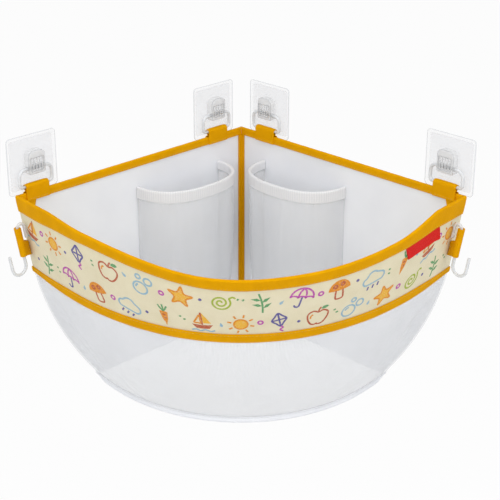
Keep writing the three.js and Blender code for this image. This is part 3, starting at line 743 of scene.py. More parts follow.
five_points = [arc(0, 0, 0.85 if k % 2 == 0 else 0.4, 90 + 36 * k, 90 + 36 * k, 1)[0] for k in range(10)]
pictures = {
    "sun": [("fill", "yellow", arc(0, 0, 0.4, 0, 345, 23)), ("loop", "orange", arc(0, 0, 0.46, 0, 330, 11))]
    + [("line", "orange", [arc(0, 0, r, a, a, 1)[0] for r in (0.64, 0.92)]) for a in range(0, 360, 45)],
    "cloud": [
        (
            "loop",
            "blue",
            arc(-0.5, -0.12, 0.32, 260, 100, 6)
            + arc(-0.06, 0.16, 0.42, 150, 35, 6)
            + arc(0.5, -0.1, 0.34, 70, -85, 6),
        )
    ]
    + [("line", "violet", [(x, -0.62), (x - 0.1, -0.9)]) for x in (-0.4, 0.0, 0.4)],
    "boat": [
        (
            "fill",
            "brick",
            [(-0.72, -0.25), (0, -0.3), (0.72, -0.25), (0.45, -0.62), (0, -0.66), (-0.45, -0.62)],
        ),
        (
            "fill",
            "yellow",
            [(0.07, -0.1), (0.07, 0.4), (0.07, 0.88), (0.36, 0.4), (0.62, -0.1), (0.34, -0.1)],
        ),
        ("line", "brick", [(0, -0.26), (0, 0.9)]),
        (
            "loop",
            "orange",
            [(-0.08, -0.1), (-0.08, 0.3), (-0.1, 0.66), (-0.32, 0.3), (-0.54, -0.08), (-0.3, -0.1)],
        ),
        (
            "line",
            "blue",
            [(-0.8, -0.85), (-0.5, -0.75), (-0.2, -0.88), (0.15, -0.75), (0.5, -0.88), (0.8, -0.78)],
        ),
    ],
    "umbrella": [
        (
            "loop",
            "magenta",
            arc(0, 0.05, 0.8, 180, 0, 10)[:-1]
            + [p for x in (0.53, 0, -0.53) for p in arc(x, 0.05, 0.267, 0, 150, 4, 0.5)],
        ),
        ("line", "magenta", [(0, 0.85), (-0.2, 0.55), (-0.27, 0.1)]),
        ("line", "magenta", [(0, 0.85), (0.2, 0.55), (0.27, 0.1)]),
        ("line", "violet", [(0, 0.15), (0, -0.55)] + arc(-0.17, -0.6, 0.17, -20, -180, 5)),
    ],
    "apple": [
        (
            "loop",
            "brick",
            [(0, 0.42), (0.34, 0.56), (0.7, 0.34), (0.68, -0.15), (0.42, -0.62), (0.13, -0.72), (0, -0.64)]
            + [(-0.13, -0.72), (-0.42, -0.62), (-0.68, -0.15), (-0.7, 0.34), (-0.34, 0.56)],
        ),
        ("line", "brick", [(0, 0.4), (0.03, 0.66), (0.12, 0.86)]),
        (
            "fill",
            "green",
            [(0.14, 0.7), (0.28, 0.92), (0.5, 0.97), (0.68, 0.88), (0.52, 0.72), (0.32, 0.66)],
        ),
        ("line", "orange", arc(-0.2, -0.02, 0.3, 120, 200, 4)),
    ],
    "sprig": [("line", "green", [(-0.1, -0.92), (0.02, -0.3), (0.04, 0.3), (0, 0.8)])]
    + [
        (
            "fill",
            "green",
            [(x, y), (x + 0.3 * s, y + 0.02), (x + 0.62 * s, y + 0.3), (x + 0.22 * s, y + 0.26)],
        )
        for x, y, s in ((0.02, -0.5, 1), (0.0, -0.3, -1), (0.04, 0.0, 1), (0.03, 0.2, -1))
    ],
    "star": [
        ("fill", "yellow", [(x * 0.86, y * 0.86) for x, y in five_points]),
        ("loop", "orange", five_points),
    ],
    "mushroom": [
        ("fill", "orange", arc(0, 0.05, 0.78, 0, 180, 16) + [(-0.4, -0.03), (0, -0.06), (0.4, -0.03)]),
        (
            "line",
            "brick",
            [(-0.24, 0.0), (-0.27, -0.4), (-0.22, -0.74), (0.22, -0.74), (0.27, -0.4), (0.24, 0.0)],
        ),
        ("loop", "brick", arc(-0.3, 0.36, 0.13, 0, 315, 7)),
        ("loop", "brick", arc(0.22, 0.46, 0.12, 0, 315, 7)),
    ],
    "bubbles": [
        ("loop", "blue", arc(-0.25, -0.25, 0.5, 0, 330, 11)),
        ("loop", "blue", arc(0.5, 0.3, 0.28, 0, 330, 11)),
        ("loop", "blue", arc(-0.1, 0.66, 0.17, 0, 330, 11)),
        ("line", "blue", arc(-0.25, -0.25, 0.3, 100, 165, 4)),
    ],
    "spiral": [
        ("line", "lime", [arc(0, 0, 0.08 + 0.6 * a / 760, a, a, 1)[0] for a in range(0, 761, 38)]),
        ("line", "lime", [(0.5, 0.42), (0.72, 0.6), (0.92, 0.5)]),
    ],
    "kite": [
        (
            "loop",
            "violet",
            [(0, 0.92), (0.27, 0.6), (0.5, 0.28), (0.26, -0.05)]
            + [(0, -0.38), (-0.26, -0.05), (-0.5, 0.28), (-0.27, 0.6)],
        ),
        ("line", "violet", [(-0.5, 0.28), (0.5, 0.28)]),
        ("line", "violet", [(0, 0.92), (0, -0.38)]),
        ("line", "magenta", [(0, -0.38), (0.14, -0.55), (-0.1, -0.72), (0.1, -0.94)]),
    ],
    "carrot": [
        ("fill", "orange", [(-0.3, 0.34), (0, 0.42), (0.3, 0.34), (0.2, -0.3), (0, -0.92), (-0.2, -0.3)]),
        ("line", "green", [(0, 0.4), (-0.2, 0.66), (-0.3, 0.9)]),
        ("line", "green", [(0, 0.4), (0.02, 0.7), (0.0, 0.98)]),
        ("line", "green", [(0, 0.4), (0.2, 0.66), (0.32, 0.88)]),
        ("line", "brick", [(-0.12, 0.1), (0.1, 0.06)]),
        ("line", "brick", [(-0.02, -0.2), (0.12, -0.22)]),
    ],
    "drop": [
        (
            "fill",
            "blue",
            [(0, 0.9), (0.3, 0.3), (0.46, -0.2), (0.3, -0.66)]
            + [(0, -0.8), (-0.3, -0.66), (-0.46, -0.2), (-0.3, 0.3)],
        )
    ],
    "ring": [("loop", "magenta", arc(0, 0, 0.66, 0, 330, 11))],
    "dashes": [
        ("line", "green", [(-0.8, 0.5), (-0.2, 0.8)]),
        ("line", "green", [(0.1, -0.5), (0.8, -0.3)]),
    ],
    "dot": [("fill", "violet", arc(0, 0, 0.5, 0, 330, 11))],
}
band_run = middle_run[-1]
drawn = ["sun", "umbrella", "apple", "cloud", "star", "boat"]
drawn += ["sprig", "kite", "mushroom", "bubbles", "carrot", "spiral"]
marks = ["ring", "drop", "dashes", "dot"]
columns, picture_size, mark_size, pen_width = 14, 29, 7, 1.8
stamps = []
for column in range(columns):
    run = band_run * (column + 0.5) / columns
    shift = band_run * 0.5 / columns
    lean = 14 * math.sin(column * 2.3)
    stamps.append((drawn[column * 5 % 12], run, 0.27, picture_size, lean))
    if column < columns - 1:
        stamps.append((drawn[(column * 5 + 6) % 12], run + shift, 0.75, picture_size, -lean))
        stamps.append((marks[column % 4], run + shift, 0.2 + 0.05 * (column % 3), mark_size, lean * 3))
    stamps.append((marks[(column + 2) % 4], run, 0.72 + 0.06 * (column % 2), mark_size, -lean * 2))
for picture, run, level, size, lean in stamps:
    turn = turn_at(run)
    free = band_length(turn) - rim_tape_drop(turn) - foot_tape_above
    below = rim_tape_drop(turn) + free * level
    cos_lean, sin_lean = math.cos(math.radians(lean)), math.sin(math.radians(lean))

    def on_band(p, lift):
        x, y = p.x * cos_lean - p.y * sin_lean, p.x * sin_lean + p.y * cos_lean
        return band_face(turn_at(run - x * size / 2), below - y * size / 2, lift)

    for way, ink, line in pictures[picture]:
        if way == "fill":
            brush(ink, line, on_band)
        else:
            pen(ink, pen_width / (size / 2), line, way == "loop", on_band)

# Pigment ink: dry and matt, a little thin where the threads cross, so the cream shows through
for ink, colour in inks.items():
    pigment, shader = new_finish("pigment_ink_" + ink)
    place = node(pigment, "TexCoord", out="Object")
    cover = node(pigment, "TexNoise", {"Vector": place, "Scale": patch_scale(1.43), "Detail": 3.0}, "Fac")
    thin = node(pigment, "MapRange", {"Value": cover, "From Min": 0.5, "From Max": 0.8, "To Max": 0.45})
    tint = node(pigment, "Mix", {0: thin, 6: srgb(colour), 7: srgb("e6ddbf")}, 2, data_type="RGBA")
    feed(shader, {"Base Color": tint, "Roughness": 0.85})
    layer = new_mesh("print_" + ink, ink_points[ink], ink_faces[ink], pigment)
    dress(layer, "printed_cloth")


# The skirt: fine mesh from the band's foot down to the base, fuller than the band, so that it hangs in
# shallow folds. White cloth rolled round a cord makes the welt over its seam with the flat mesh base.
base_thickness = 1.6
welt_radius, welt_middle, flange = 2.9, Vector((-0.9, 1.3)), 6.4


def skirt_face(turn, share, out):
    """A point off the skirt's outer face, with its folds."""
    belly = math.sin(math.pi * share)
    folds = math.sin(turn * 23 + 1.2 * math.sin(share * 4)) * uneven(1.6, turn * 4, share * 1.5, 9.1)
    drape = (folds + uneven(1.2, turn * 9, share * 3, 2.2)) * belly * ease(swell(turn) * 2.2)
    return on_front(turn, skirt_line(turn, share, drape + out))


def skirt_faces(turn):
    shares = steps(0, 1, 44)
    return [[skirt_face(turn, share, out) for share in shares] for out in (0, -mesh_thickness)]


skirt = cloth_strip("mesh_skirt", band_turns, skirt_faces, frosted_mesh)
dress(skirt, "frosted_mesh", "front_skirt")


def skirt_foot(turn):
    """The skirt's lowest point, and the way that the skirt runs there."""
    foot = skirt_line(turn, 1, 0)
    return foot, (foot - skirt_line(turn, 0.99, 0)).normalized()


def base_point(p, q, z):
    """A point of the base, in a grid that runs from the rear corner out to the front edge."""
    far = max(p, q)
    turn = 0.0 if far == 0 else (q / p * quarter / 2 if p >= q else quarter - p / q * quarter / 2)
    foot, down = skirt_foot(turn)
    reach = foot.x + down.x / -down.y * (seat + base_thickness)
    sag = uneven(1.1, p * 4, q * 4, 0.7) * ease((1 - far) * 6) * ease(min(p, q) * 6)
    return on_front(turn, Vector((reach * far, z + max(-0.2, sag))))


def base_faces(p):
    rows = steps(0, 1, 40)
    top = -bag_depth - seat
    return [[base_point(p, q, z) for q in rows] for z in (top - base_thickness, top)]


base = cloth_strip("mesh_base", steps(0, 1, 40), base_faces, frosted_mesh)
dress(base, "frosted_mesh", "base_panel")

welt_outer = [Vector((-flange, 0.5)), Vector((-5.4, 0.75)), Vector((-4.5, 1.2))]
for a in steps(math.radians(65), math.radians(-110), 14):
    welt_outer.append(welt_middle + welt_radius * Vector((-math.sin(a), math.cos(a))))
welt_inner = [Vector((s, seat)) for s in steps(-flange, 1.8, len(welt_outer) - 1)]


def piping_faces(turn):
    """The welt's section, as distance down past the seam and out from the skirt, flat at the walls."""
    foot, down = skirt_foot(turn)
    full = 0.3 + 0.7 * ease(swell(turn) / 0.2) + uneven(0.03, turn * 40, 0.3, 4.4)
    return [
        [on_front(turn, foot + down * p.x + off_face(down) * (seat + (p.y - seat) * full)) for p in line]
        for line in (welt_outer, welt_inner)
    ]


def from_corner(hole):
    return Vector((hole.x, hole.y, 0)).normalized()


piping = cloth_strip("base_tape", band_turns, piping_faces, white_cloth)
dress(piping, "white_cloth", "base_piping")
row = []
for turn in steps(0.01, quarter - 0.01, 260):
    foot, down = skirt_foot(turn)
    row.append(on_front(turn, foot + down * -5.2 + off_face(down) * 0.95))
stitches = sew("base_tape_stitches", row, from_corner, "white_cloth")


# The mustard tapes of the front: one folded over the rim, wider towards the walls, and a narrow one over
# the seam of band and skirt. Both are sewn down with lockstitch along their edges.
foot_tape_above_at_wall, foot_tape_below_at_wall = 4.0, 2.0


def rim_tape_faces(turn):
    drop = rim_tape_drop(turn)
    faces = []
    for line in fold(band_thickness / 2 + seat, tape_thickness, drop, rim_tape_inside):
        face = []
        for p in line:
            pull = uneven(0.14, turn * 46, p.y / 7, 6.1) * ease(swell(turn) * 12)
            bend = 0.25 * math.sin(math.pi * min(1.0, max(0.0, -p.y / drop))) if p.x > 0 else 0.0
            face.append(band_face(turn, -p.y + pull * 0.5, p.x - band_thickness / 2 + pull + bend))
        faces.append(face)
    return faces


rim_tape = cloth_strip("rim_tape", steps(0, quarter, 200), rim_tape_faces, mustard_tape)
dress(rim_tape, "mustard_tape", "front_rim_binding")


def foot_tape_face(turn, row, out):
    """A point of the tape over the band's foot: rows from -1 to 0 lie on the band, and 0 to 1 on the skirt.
    The tape is drawn narrower at the walls."""
    full = ease(swell(turn) / 0.45)
    if row < 0:
        above = foot_tape_above_at_wall + (foot_tape_above - foot_tape_above_at_wall) * full
        return band_face(turn, band_length(turn) + row * above, out)
    below = foot_tape_below_at_wall + (foot_tape_below - foot_tape_below_at_wall) * full
    skirt_run = (skirt_line(turn, 0.01, 0) - skirt_line(turn, 0, 0)).length / 0.01
    return skirt_face(turn, row * below / skirt_run, out)


def foot_tape_faces(turn):
    rows = [-1.0, -0.87, -0.6, -0.32, -0.06, 0.28, 0.7, 1.0]
    puffs = [0.0, 0.22, 0.34, 0.34, 0.3, 0.3, 0.2, 0.0]
    outer = []
    for row, puff in zip(rows, puffs):
        pull = uneven(0.12, turn * 46, row * 2, 3.3) * ease(swell(turn) * 12)
        outer.append(foot_tape_face(turn, row, seat + tape_thickness + puff + pull))
    return outer, [foot_tape_face(turn, row, seat) for row in rows]


foot_tape = cloth_strip("foot_tape", steps(0, quarter, 200), foot_tape_faces, mustard_tape)
dress(foot_tape, "mustard_tape", "band_foot_binding")

tape_face = seat + tape_thickness + 0.12
for name, point_at in (
    ("rim_tape_stitches", lambda turn: band_face(turn, rim_tape_drop(turn) - 1.7, tape_face)),
    ("foot_tape_stitches_upper", lambda turn: foot_tape_face(turn, -0.78, tape_face + 0.2)),
    ("foot_tape_stitches_lower", lambda turn: foot_tape_face(turn, 0.5, tape_face + 0.1)),
):
    row = [point_at(turn) for turn in steps(0.012, quarter - 0.012, 400)]
    sew(name, row, from_corner, "mustard_tape")


# The label: a short flag of plain red woven ribbon, caught under the rim tape near the right wall.
# It is left bare, and its free edge stands off the band a little.
label_length, label_height, label_thickness, label_skew = 51.0, 15.0, 0.9, 5.0
label_turn = math.radians(12.25)

# Damask label ribbon: fine satin ribs along the ribbon and a soft gloss
red_ribbon, shader = new_finish("red_woven_ribbon")
lengths = node(red_ribbon, "UVMap", uv_map="Cloth")
by_ribs = {"Vector": lengths, "Scale": wave_scale(0.8), "Distortion": 0.4}
satin = node(red_ribbon, "TexWave", by_ribs, "Fac", bands_direction="Y")
pick = node(red_ribbon, "TexNoise", {"Vector": lengths, "Scale": patch_scale(2.5), "Detail": 2.0}, "Fac")
mingled = node(red_ribbon, "Math", {0: satin, 1: pick}, operation="ADD")
depth = node(red_ribbon, "MapRange", {"Value": mingled, "From Min": 0.3, "From Max": 1.5})
tint = node(red_ribbon, "Mix", {0: depth, 6: srgb("c41411"), 7: srgb("e0231f")}, 2, data_type="RGBA")
matt = node(red_ribbon, "MapRange", {"Value": satin, "To Min": 0.6, "To Max": 0.42})
twill = node(red_ribbon, "Bump", {"Height": mingled, "Strength": 0.35, "Distance": 0.0003})
feed(shader, {"Base Color": tint, "Roughness": matt, "Specular IOR Level": 0.08, "Normal": twill})

label_reach = rim(label_turn).x
label_half = label_length / 2 / label_reach


def label_faces(turn):
    outer, inner = [], []
    for row in steps(0, 1, 8):
        turned = turn - label_skew * row / label_reach
        below = rim_tape_drop(turn) + seat + label_height * row
        lift = seat + 0.5 * row**3 + uneven(0.15, turn * 60, row * 2, 8.8) * row
        outer.append(band_face(turned, below, lift + label_thickness))
        inner.append(band_face(turned, below, lift))
    return outer, inner


label_turns = steps(label_turn - label_half, label_turn + label_half, 40)
label = cloth_strip("red_label", label_turns, label_faces, red_ribbon)
dress(label, "red_label", "band_label")


# The hang tabs: short mustard webbing, folded over the lower bar of each wire stirrup, with both ends sewn
# to the bag's wall tape. They carry the bag.
tab_width, tab_thickness = 28.0, 1.2
bail_wire, bail_bar, bail_standoff = 3.6, 8.0, 6.0
waist_depth, waist_level, waist_height = 3.4, 4.2, 1.4
hook_at = {"inner": 46.0, "outer": rim_reach - 24.5}
tab_gap = bail_wire / 2 + seat + 0.2
tab_fold = bail_bar + bail_wire / 2 + seat - tab_gap
tab_leg = tab_fold + wall_tape_height
tab_front = bail_standoff + tab_gap + tab_thickness
tab_lines = fold(tab_gap, tab_thickness, tab_leg, tab_leg, 18)
tab_stations = [tab_width / 2 * math.sin(a) for a in steps(-quarter, quarter, 24)]

for side in ("right", "left"):
    off_wall = on_wall(side, 0, 0, 1)
    for place, u in hook_at.items():
        where = place + "_" + side

        def tab_faces(x):
            """The rear layer is drawn to the front one in the gap between the wall tape and the wire."""
            rounded = 0.5 * (abs(x) / tab_width * 2) ** 8
            faces = []
            for line in tab_lines:
                face = []
                for p in line:
                    z = p.y + tab_fold
                    waist = waist_depth * math.exp(-(((z - waist_level) / waist_height) ** 2))
                    up_fold = ease(p.y / tab_gap)
                    d = bail_standoff + p.x * (1 - 0.06 * rounded) + (waist if p.x < 0 else 0.0)
                    face.append(on_wall(side, u + x * (1 - 0.012 * up_fold), z - rounded * up_fold, d))
                faces.append(face)
            return faces

        tab = cloth_strip("tab_" + where, tab_stations, tab_faces, mustard_tape)
        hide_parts("hang_tab_" + where)
        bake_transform(tab)
        ends = steps(2 - tab_width / 2, tab_width / 2 - 2, 12)
        row = [on_wall(side, u + x, 2.0 - wall_tape_height, tab_front) for x in ends]
        stitches = sew("tab_stitches_" + where, row, lambda hole: off_wall, "mustard_tape")


# The adhesive hooks: a clear moulded square plate on a film of tack, with an arched block in its middle
# that holds a milky wire stirrup. The block is moulded with a sunk face and two rows of upright slots.
pad_size, pad_centre = 60.0, 30.0
film_thickness, film_margin, film_corner = 0.5, 3.5, 3.2
plate_thickness, plate_corner, plate_edge = 1.4, 4.0, 0.45
step_margin, step_width, step_depth = 3.2, 0.6, 0.35
plate_front = film_thickness + seat + plate_thickness
housing_width, housing_height, housing_depth = 20.5, 24.5, 8.0
arch_corner, foot_corner, front_round = 6.5, 2.0, 1.1
face_middle, face_width, face_height, face_depth, face_corner = 30.6, 16.6, 14.5, 0.7, 1.2
slot_places, slot_width, slot_depth, slot_corner = (-5.4, -1.8, 1.8, 5.4), 2.5, 1.7, 0.6
slot_rows = ((26.9, 5.0), (33.9, 6.2))
bail_pivot, bail_width, bail_shoulder, bail_corner = 26.0, 40.0, 7, 4
housing_foot = bail_pivot - 5.5
acrylic_ior, polycarbonate_ior = 1.49, 1.58


def block(name, size, centre):
    """A box at its size and place, in millimetres: across, up and off the wall."""
    bpy.ops.object.select_all(action="DESELECT")
    place, scale = ([c * 0.001 for c in triple] for triple in (centre, size))
    bpy.ops.mesh.primitive_cube_add(size=1, location=place, scale=scale)
    made = bpy.context.object
    made.name = name
    bpy.ops.object.transform_apply(location=True, rotation=True, scale=True)
    return made


def bevel_edges(part, chosen, offset, segments):
    """Rounds the edges whose two ends pass the test, given in millimetres."""
    bpy.context.tool_settings.mesh_select_mode = (False, True, False)
    bpy.ops.object.mode_set(mode="EDIT")
    bpy.ops.mesh.select_all(action="DESELECT")
    bpy.ops.object.mode_set(mode="OBJECT")
    for edge in part.data.edges:
        a, b = (part.data.vertices[v].co * 1000 for v in edge.vertices)
        edge.select = chosen(a, b)
    bpy.ops.object.mode_set(mode="EDIT")
    bpy.ops.mesh.bevel(offset=offset * 0.001, segments=segments, affect="EDGES")
    bpy.ops.object.mode_set(mode="OBJECT")


def cut(part, cutter):
    """Takes the cutter out of the part and puts the cutter away."""
    bpy.context.view_layer.objects.active = part
    away = part.modifiers.new("cut", "BOOLEAN")
    away.object = cutter
    away.solver = "EXACT"
    bpy.ops.object.modifier_apply(modifier="cut")
    bpy.data.objects.remove(cutter)


def upright(a, b):
    return (a - b).xy.length < 0.01


def bent_wire(name, corners, bends, thickness, closed):
    """A round wire through flat corners, each bent to its radius, with blunt rounded ends."""
    bpy.ops.object.select_all(action="DESELECT")
    bpy.ops.mesh.primitive_plane_add(size=0.01)
    made = bpy.context.object
    made.name = name
    bpy.context.tool_settings.mesh_select_mode = (True, False, False)
    bpy.ops.object.mode_set(mode="EDIT")
    bpy.ops.mesh.select_all(action="SELECT")
    bpy.ops.mesh.merge(type="CENTER")
    bpy.ops.transform.translate(value=(corners[0][0] * 0.001, corners[0][1] * 0.001, 0))
    for (x0, y0), (x1, y1) in zip(corners, corners[1:]):
        step = ((x1 - x0) * 0.001, (y1 - y0) * 0.001, 0)
        bpy.ops.mesh.extrude_vertices_move(TRANSFORM_OT_translate={"value": step})
    if closed:
        bpy.ops.mesh.select_all(action="DESELECT")
        bpy.ops.object.mode_set(mode="OBJECT")
        for v in made.data.vertices:
            v.select = len([e for e in made.data.edges if v.index in e.vertices]) == 1
        bpy.ops.object.mode_set(mode="EDIT")
        bpy.ops.mesh.edge_face_add()
    for corner, radius in zip(corners, bends):
        if radius:
            bpy.ops.mesh.select_all(action="DESELECT")
            bpy.ops.object.mode_set(mode="OBJECT")
            for v in made.data.vertices:
                v.select = (v.co * 1000 - Vector((*corner, 0))).length < 0.01
            bpy.ops.object.mode_set(mode="EDIT")
            bpy.ops.mesh.bevel(offset=radius * 0.001, segments=9, affect="VERTICES")
    bpy.ops.object.mode_set(mode="OBJECT")
    bpy.ops.object.convert(target="CURVE")
    made.data.bevel_depth = thickness / 2 * 0.001
    made.data.bevel_resolution = 4
    made.data.use_fill_caps = True
    bpy.ops.object.convert(target="MESH")
    return bpy.context.object


# Moulded acrylic block: clear but deep, so that its front and sides grey what is behind them, and its slots
# show the white behind. Light and shade are painted on face by face: a painted highlight on the slot sides,
# painted shade at the slot ends, on the walls of the sunk face and along the rounded front edge. The
# block's
# own attributes say which: Tone how pale a face is, painted light and shade included, and Veil how much it
# hides.
block_plastic, shader = new_finish("moulded_acrylic_block")
# Tone holds painted highlights and painted shade as well as the plastic's own paleness
tone_and_painted_light = node(block_plastic, "Attribute", out="Fac", attribute_name="Tone_and_painted_light")
veil = node(block_plastic, "Attribute", out="Fac", attribute_name="Veil")
place = node(block_plastic, "TexCoord", out="Object")
flow = node(block_plastic, "TexNoise", {"Vector": place, "Scale": patch_scale(8.33), "Detail": 2.0}, "Fac")
swirl = node(block_plastic, "MapRange", {"Value": flow, "To Min": -0.12, "To Max": 0.12})
depth = node(block_plastic, "Math", {0: tone_and_painted_light, 1: swirl}, operation="ADD", use_clamp=True)
tint = node(block_plastic, "Mix", {0: depth, 6: srgb("8d9094"), 7: srgb("fbfbfc")}, 2, data_type="RGBA")
gloss = node(block_plastic, "MapRange", {"Value": flow, "To Min": 0.05, "To Max": 0.14})
feed(shader, {"Base Color": tint, "Roughness": gloss, "IOR": acrylic_ior, "Alpha": veil})

# The same acrylic as a thin plate: nearly clear on its flats, with painted grey shade along its rim and a
# faint painted shade on its moulded step, where a clear edge looks darker. The plate's own attribute Rim is
# 1 at the rim and 0 on the flats.
plate_plastic, shader = new_finish("clear_acrylic_plate")
rim_painted_shade = node(plate_plastic, "Attribute", out="Fac", attribute_name="Rim")
place = node(plate_plastic, "TexCoord", out="Object")
flow = node(plate_plastic, "TexNoise", {"Vector": place, "Scale": patch_scale(11.1), "Detail": 2.0}, "Fac")
tint = node(plate_plastic, "Mix", {0: rim_painted_shade, 6: srgb("e4e5ea"), 7: srgb("c4c7cc")}, 2, data_type="RGBA")
veil = node(plate_plastic, "MapRange", {"Value": rim_painted_shade, "To Min": 0.08, "To Max": 0.5})
gloss = node(plate_plastic, "MapRange", {"Value": flow, "To Min": 0.04, "To Max": 0.12})
feed(shader, {"Base Color": tint, "Roughness": gloss, "IOR": acrylic_ior, "Alpha": veil})

# Tack film: a thin hazy gel behind the plate that greys the wall a little
tack_film, shader = new_finish("hazy_tack_film")
place = node(tack_film, "TexCoord", out="Object")
gel = node(tack_film, "TexNoise", {"Vector": place, "Scale": patch_scale(3.85), "Detail": 3.0}, "Fac")
tint = node(tack_film, "Mix", {0: gel, 6: srgb("d6d7df"), 7: srgb("e0e1e8")}, 2, data_type="RGBA")
veil = node(tack_film, "MapRange", {"Value": gel, "To Min": 0.1, "To Max": 0.115})
feed(shader, {"Base Color": tint, "Roughness": 0.4, "Alpha": veil})

# Milky polycarbonate: a pale wire that shows a little of what is behind it, cloudy inside, softly glossy
milky_plastic, shader = new_finish("milky_polycarbonate")
place = node(milky_plastic, "TexCoord", out="Object")
by_clouds = {"Vector": place, "Scale": patch_scale(6.25), "Detail": 2.0}
cloudy = node(milky_plastic, "TexNoise", by_clouds, "Fac")
tint = node(milky_plastic, "Mix", {0: cloudy, 6: srgb("dcdfe3"), 7: srgb("eef0f2")}, 2, data_type="RGBA")
veil = node(milky_plastic, "MapRange", {"Value": cloudy, "To Min": 0.6, "To Max": 0.75})
gloss = node(milky_plastic, "MapRange", {"Value": cloudy, "To Min": 0.18, "To Max": 0.32})
feed(shader, {"Base Color": tint, "Roughness": gloss, "IOR": polycarbonate_ior, "Alpha": veil})

film_size = pad_size - 2 * film_margin
film = block("film", (film_size, film_size, film_thickness), (0, pad_centre, film_thickness / 2))
bevel_edges(film, upright, film_corner, 6)

plate_middle = film_thickness + seat + plate_thickness / 2
plate = block("plate", (pad_size, pad_size, plate_thickness), (0, pad_centre, plate_middle))
bevel_edges(plate, upright, plate_corner, 7)
bevel_edges(plate, lambda a, b: min(a.z, b.z) > plate_front - 0.01, plate_edge, 3)
bpy.context.tool_settings.mesh_select_mode = (False, False, True)
bpy.ops.object.mode_set(mode="EDIT")
bpy.ops.mesh.select_all(action="DESELECT")
bpy.ops.object.mode_set(mode="OBJECT")
for face in plate.data.polygons:
    face.select = face.normal.z > 0.99
bpy.ops.object.mode_set(mode="EDIT")
bpy.ops.mesh.inset(thickness=step_margin * 0.001)
bpy.ops.mesh.inset(thickness=step_width * 0.001, depth=-step_depth * 0.001)
bpy.ops.object.mode_set(mode="OBJECT")
# Painted shade: full on the faces of the outer rim, faint on the moulded step, none on the flats
rim_painted_shade = plate.data.attributes.new("Rim", "FLOAT", "FACE")
for face in plate.data.polygons:
    out = max(abs(face.center.x * 1000), abs(face.center.y * 1000 - pad_centre))
    sloped = 1.0 if out > pad_size / 2 - 2 else 0.12
    rim_painted_shade.data[face.index].value = 0.0 if abs(face.normal.z) > 0.99 else sloped

housing_back = plate_front + seat
housing_face = housing_back + housing_depth
housing = block(
    "housing",
    (housing_width, housing_height, housing_depth),
    (0, housing_foot + housing_height / 2, housing_back + housing_depth / 2),
)
bevel_edges(housing, lambda a, b: upright(a, b) and a.y > bail_pivot, arch_corner, 8)
bevel_edges(housing, lambda a, b: upright(a, b) and a.y < bail_pivot, foot_corner, 4)
bevel_edges(housing, lambda a, b: min(a.z, b.z) > housing_face - 0.01, front_round, 3)
sunk_face = block("sunk_face", (face_width, face_height, 2 * face_depth), (0, face_middle, housing_face))
bevel_edges(sunk_face, upright, face_corner, 3)
cut(housing, sunk_face)
for slot_at in slot_places:
    for slot_middle, slot_height in slot_rows:
        size = (slot_width, slot_height, 2 * slot_depth)
        upright_slot = block("upright_slot", size, (slot_at, slot_middle, housing_face))
        bevel_edges(upright_slot, upright, slot_corner, 2)
        cut(housing, upright_slot)
bpy.ops.object.select_all(action="DESELECT")
bpy.ops.mesh.primitive_cylinder_add(
    vertices=32,
    radius=(bail_wire / 2 + seat) * 0.001,
    depth=0.05,
    location=(0, bail_pivot * 0.001, bail_standoff * 0.001),
    rotation=(0, quarter, 0),
)
cut(housing, bpy.context.object)

# The tone and the veil of each kind of face, painted light and shade included
block_tone_and_painted_light = {
    "body": (0.7, 0.42),
    "back": (0.7, 0.05),
    "front": (0.66, 0.6),
    # painted shade along the rounded front edge
    "front edge": (0.3, 0.7),
    "sunk face": (0.5, 0.65),
    # painted shade: a dark line round the sunk face
    "sunk wall": (0.15, 0.85),
    "slot floor": (1.0, 0.0),
    # painted highlight: the slot sides pale and nearly opaque
    "slot side": (1.0, 0.8),
    # painted shade: the slot ends dark
    "slot end": (0.0, 0.9),
}
looks = []
for face in housing.data.polygons:
    across, along, off = face.center * 1000
    sunk = housing_face - off
    in_face = abs(across) < face_width / 2 + 0.1 and abs(along - face_middle) < face_height / 2 + 0.1
    in_slot = min(abs(across - slot_at) for slot_at in slot_places) < slot_width / 2 + 0.1
    kind = "body"
    if face.normal.z < -0.9:
        kind = "back"
    elif in_face and in_slot and face_depth + 0.05 < sunk < slot_depth + 0.1:
        if abs(face.normal.y) > 0.6:
            kind = "slot end"
        else:
            kind = "slot floor" if face.normal.z > 0.6 else "slot side"
    elif in_face and 0.05 < sunk < slot_depth + 0.1:
        kind = "sunk face" if face.normal.z > 0.6 else "sunk wall"
    elif face.normal.z > 0.95:
        kind = "front"
    elif sunk < front_round:
        kind = "front edge"
    looks.append(block_tone_and_painted_light[kind])
for name, values in zip(("Tone_and_painted_light", "Veil"), zip(*looks)):
    housing.data.attributes.new(name, "FLOAT", "FACE").data.foreach_set("value", values)

half = bail_width / 2
bail = bent_wire(
    "bail",
    [(0, bail_pivot), (half, bail_pivot), (half, bail_bar), (-half, bail_bar), (-half, bail_pivot)],
    [0, bail_shoulder, bail_corner, bail_corner, bail_shoulder],
    bail_wire,
    True,
)
bail.data.transform(Matrix.Translation((0, 0, bail_standoff * 0.001)))

# Each is modelled once, lying flat, and copied to its four places against the walls
wall_turns = {
    "right": Matrix(((1, 0, 0, 0), (0, 0, -1, 0), (0, 1, 0, 0), (0, 0, 0, 1))),
    "left": Matrix(((0, 0, 1, 0), (1, 0, 0, 0), (0, 1, 0, 0), (0, 0, 0, 1))),
}
for part, finish, slot_name, node_name in (
    (film, tack_film, "milky_plastic", "hook_film_"),
    (plate, plate_plastic, "clear_plastic", "hook_plate_"),
    (housing, block_plastic, "clear_plastic", "hook_housing_"),
    (bail, milky_plastic, "milky_plastic", "hook_bail_"),
):
    smooth(part, 35)
    part.data.materials.append(finish)
    for side, turned in wall_turns.items():
        for place, u in hook_at.items():
            where = place + "_" + side
            copy = part.copy()
            copy.data = part.data.copy()
            copy.name = part.name + "_" + where
            copy.data.transform(Matrix.Translation(on_wall(side, u, 0, 0) * 0.001) @ turned)
            bpy.context.scene.collection.objects.link(copy)
            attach(copy, "bail_" + where if part is bail else "bag")
            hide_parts(node_name + where)
    bpy.data.objects.remove(part)


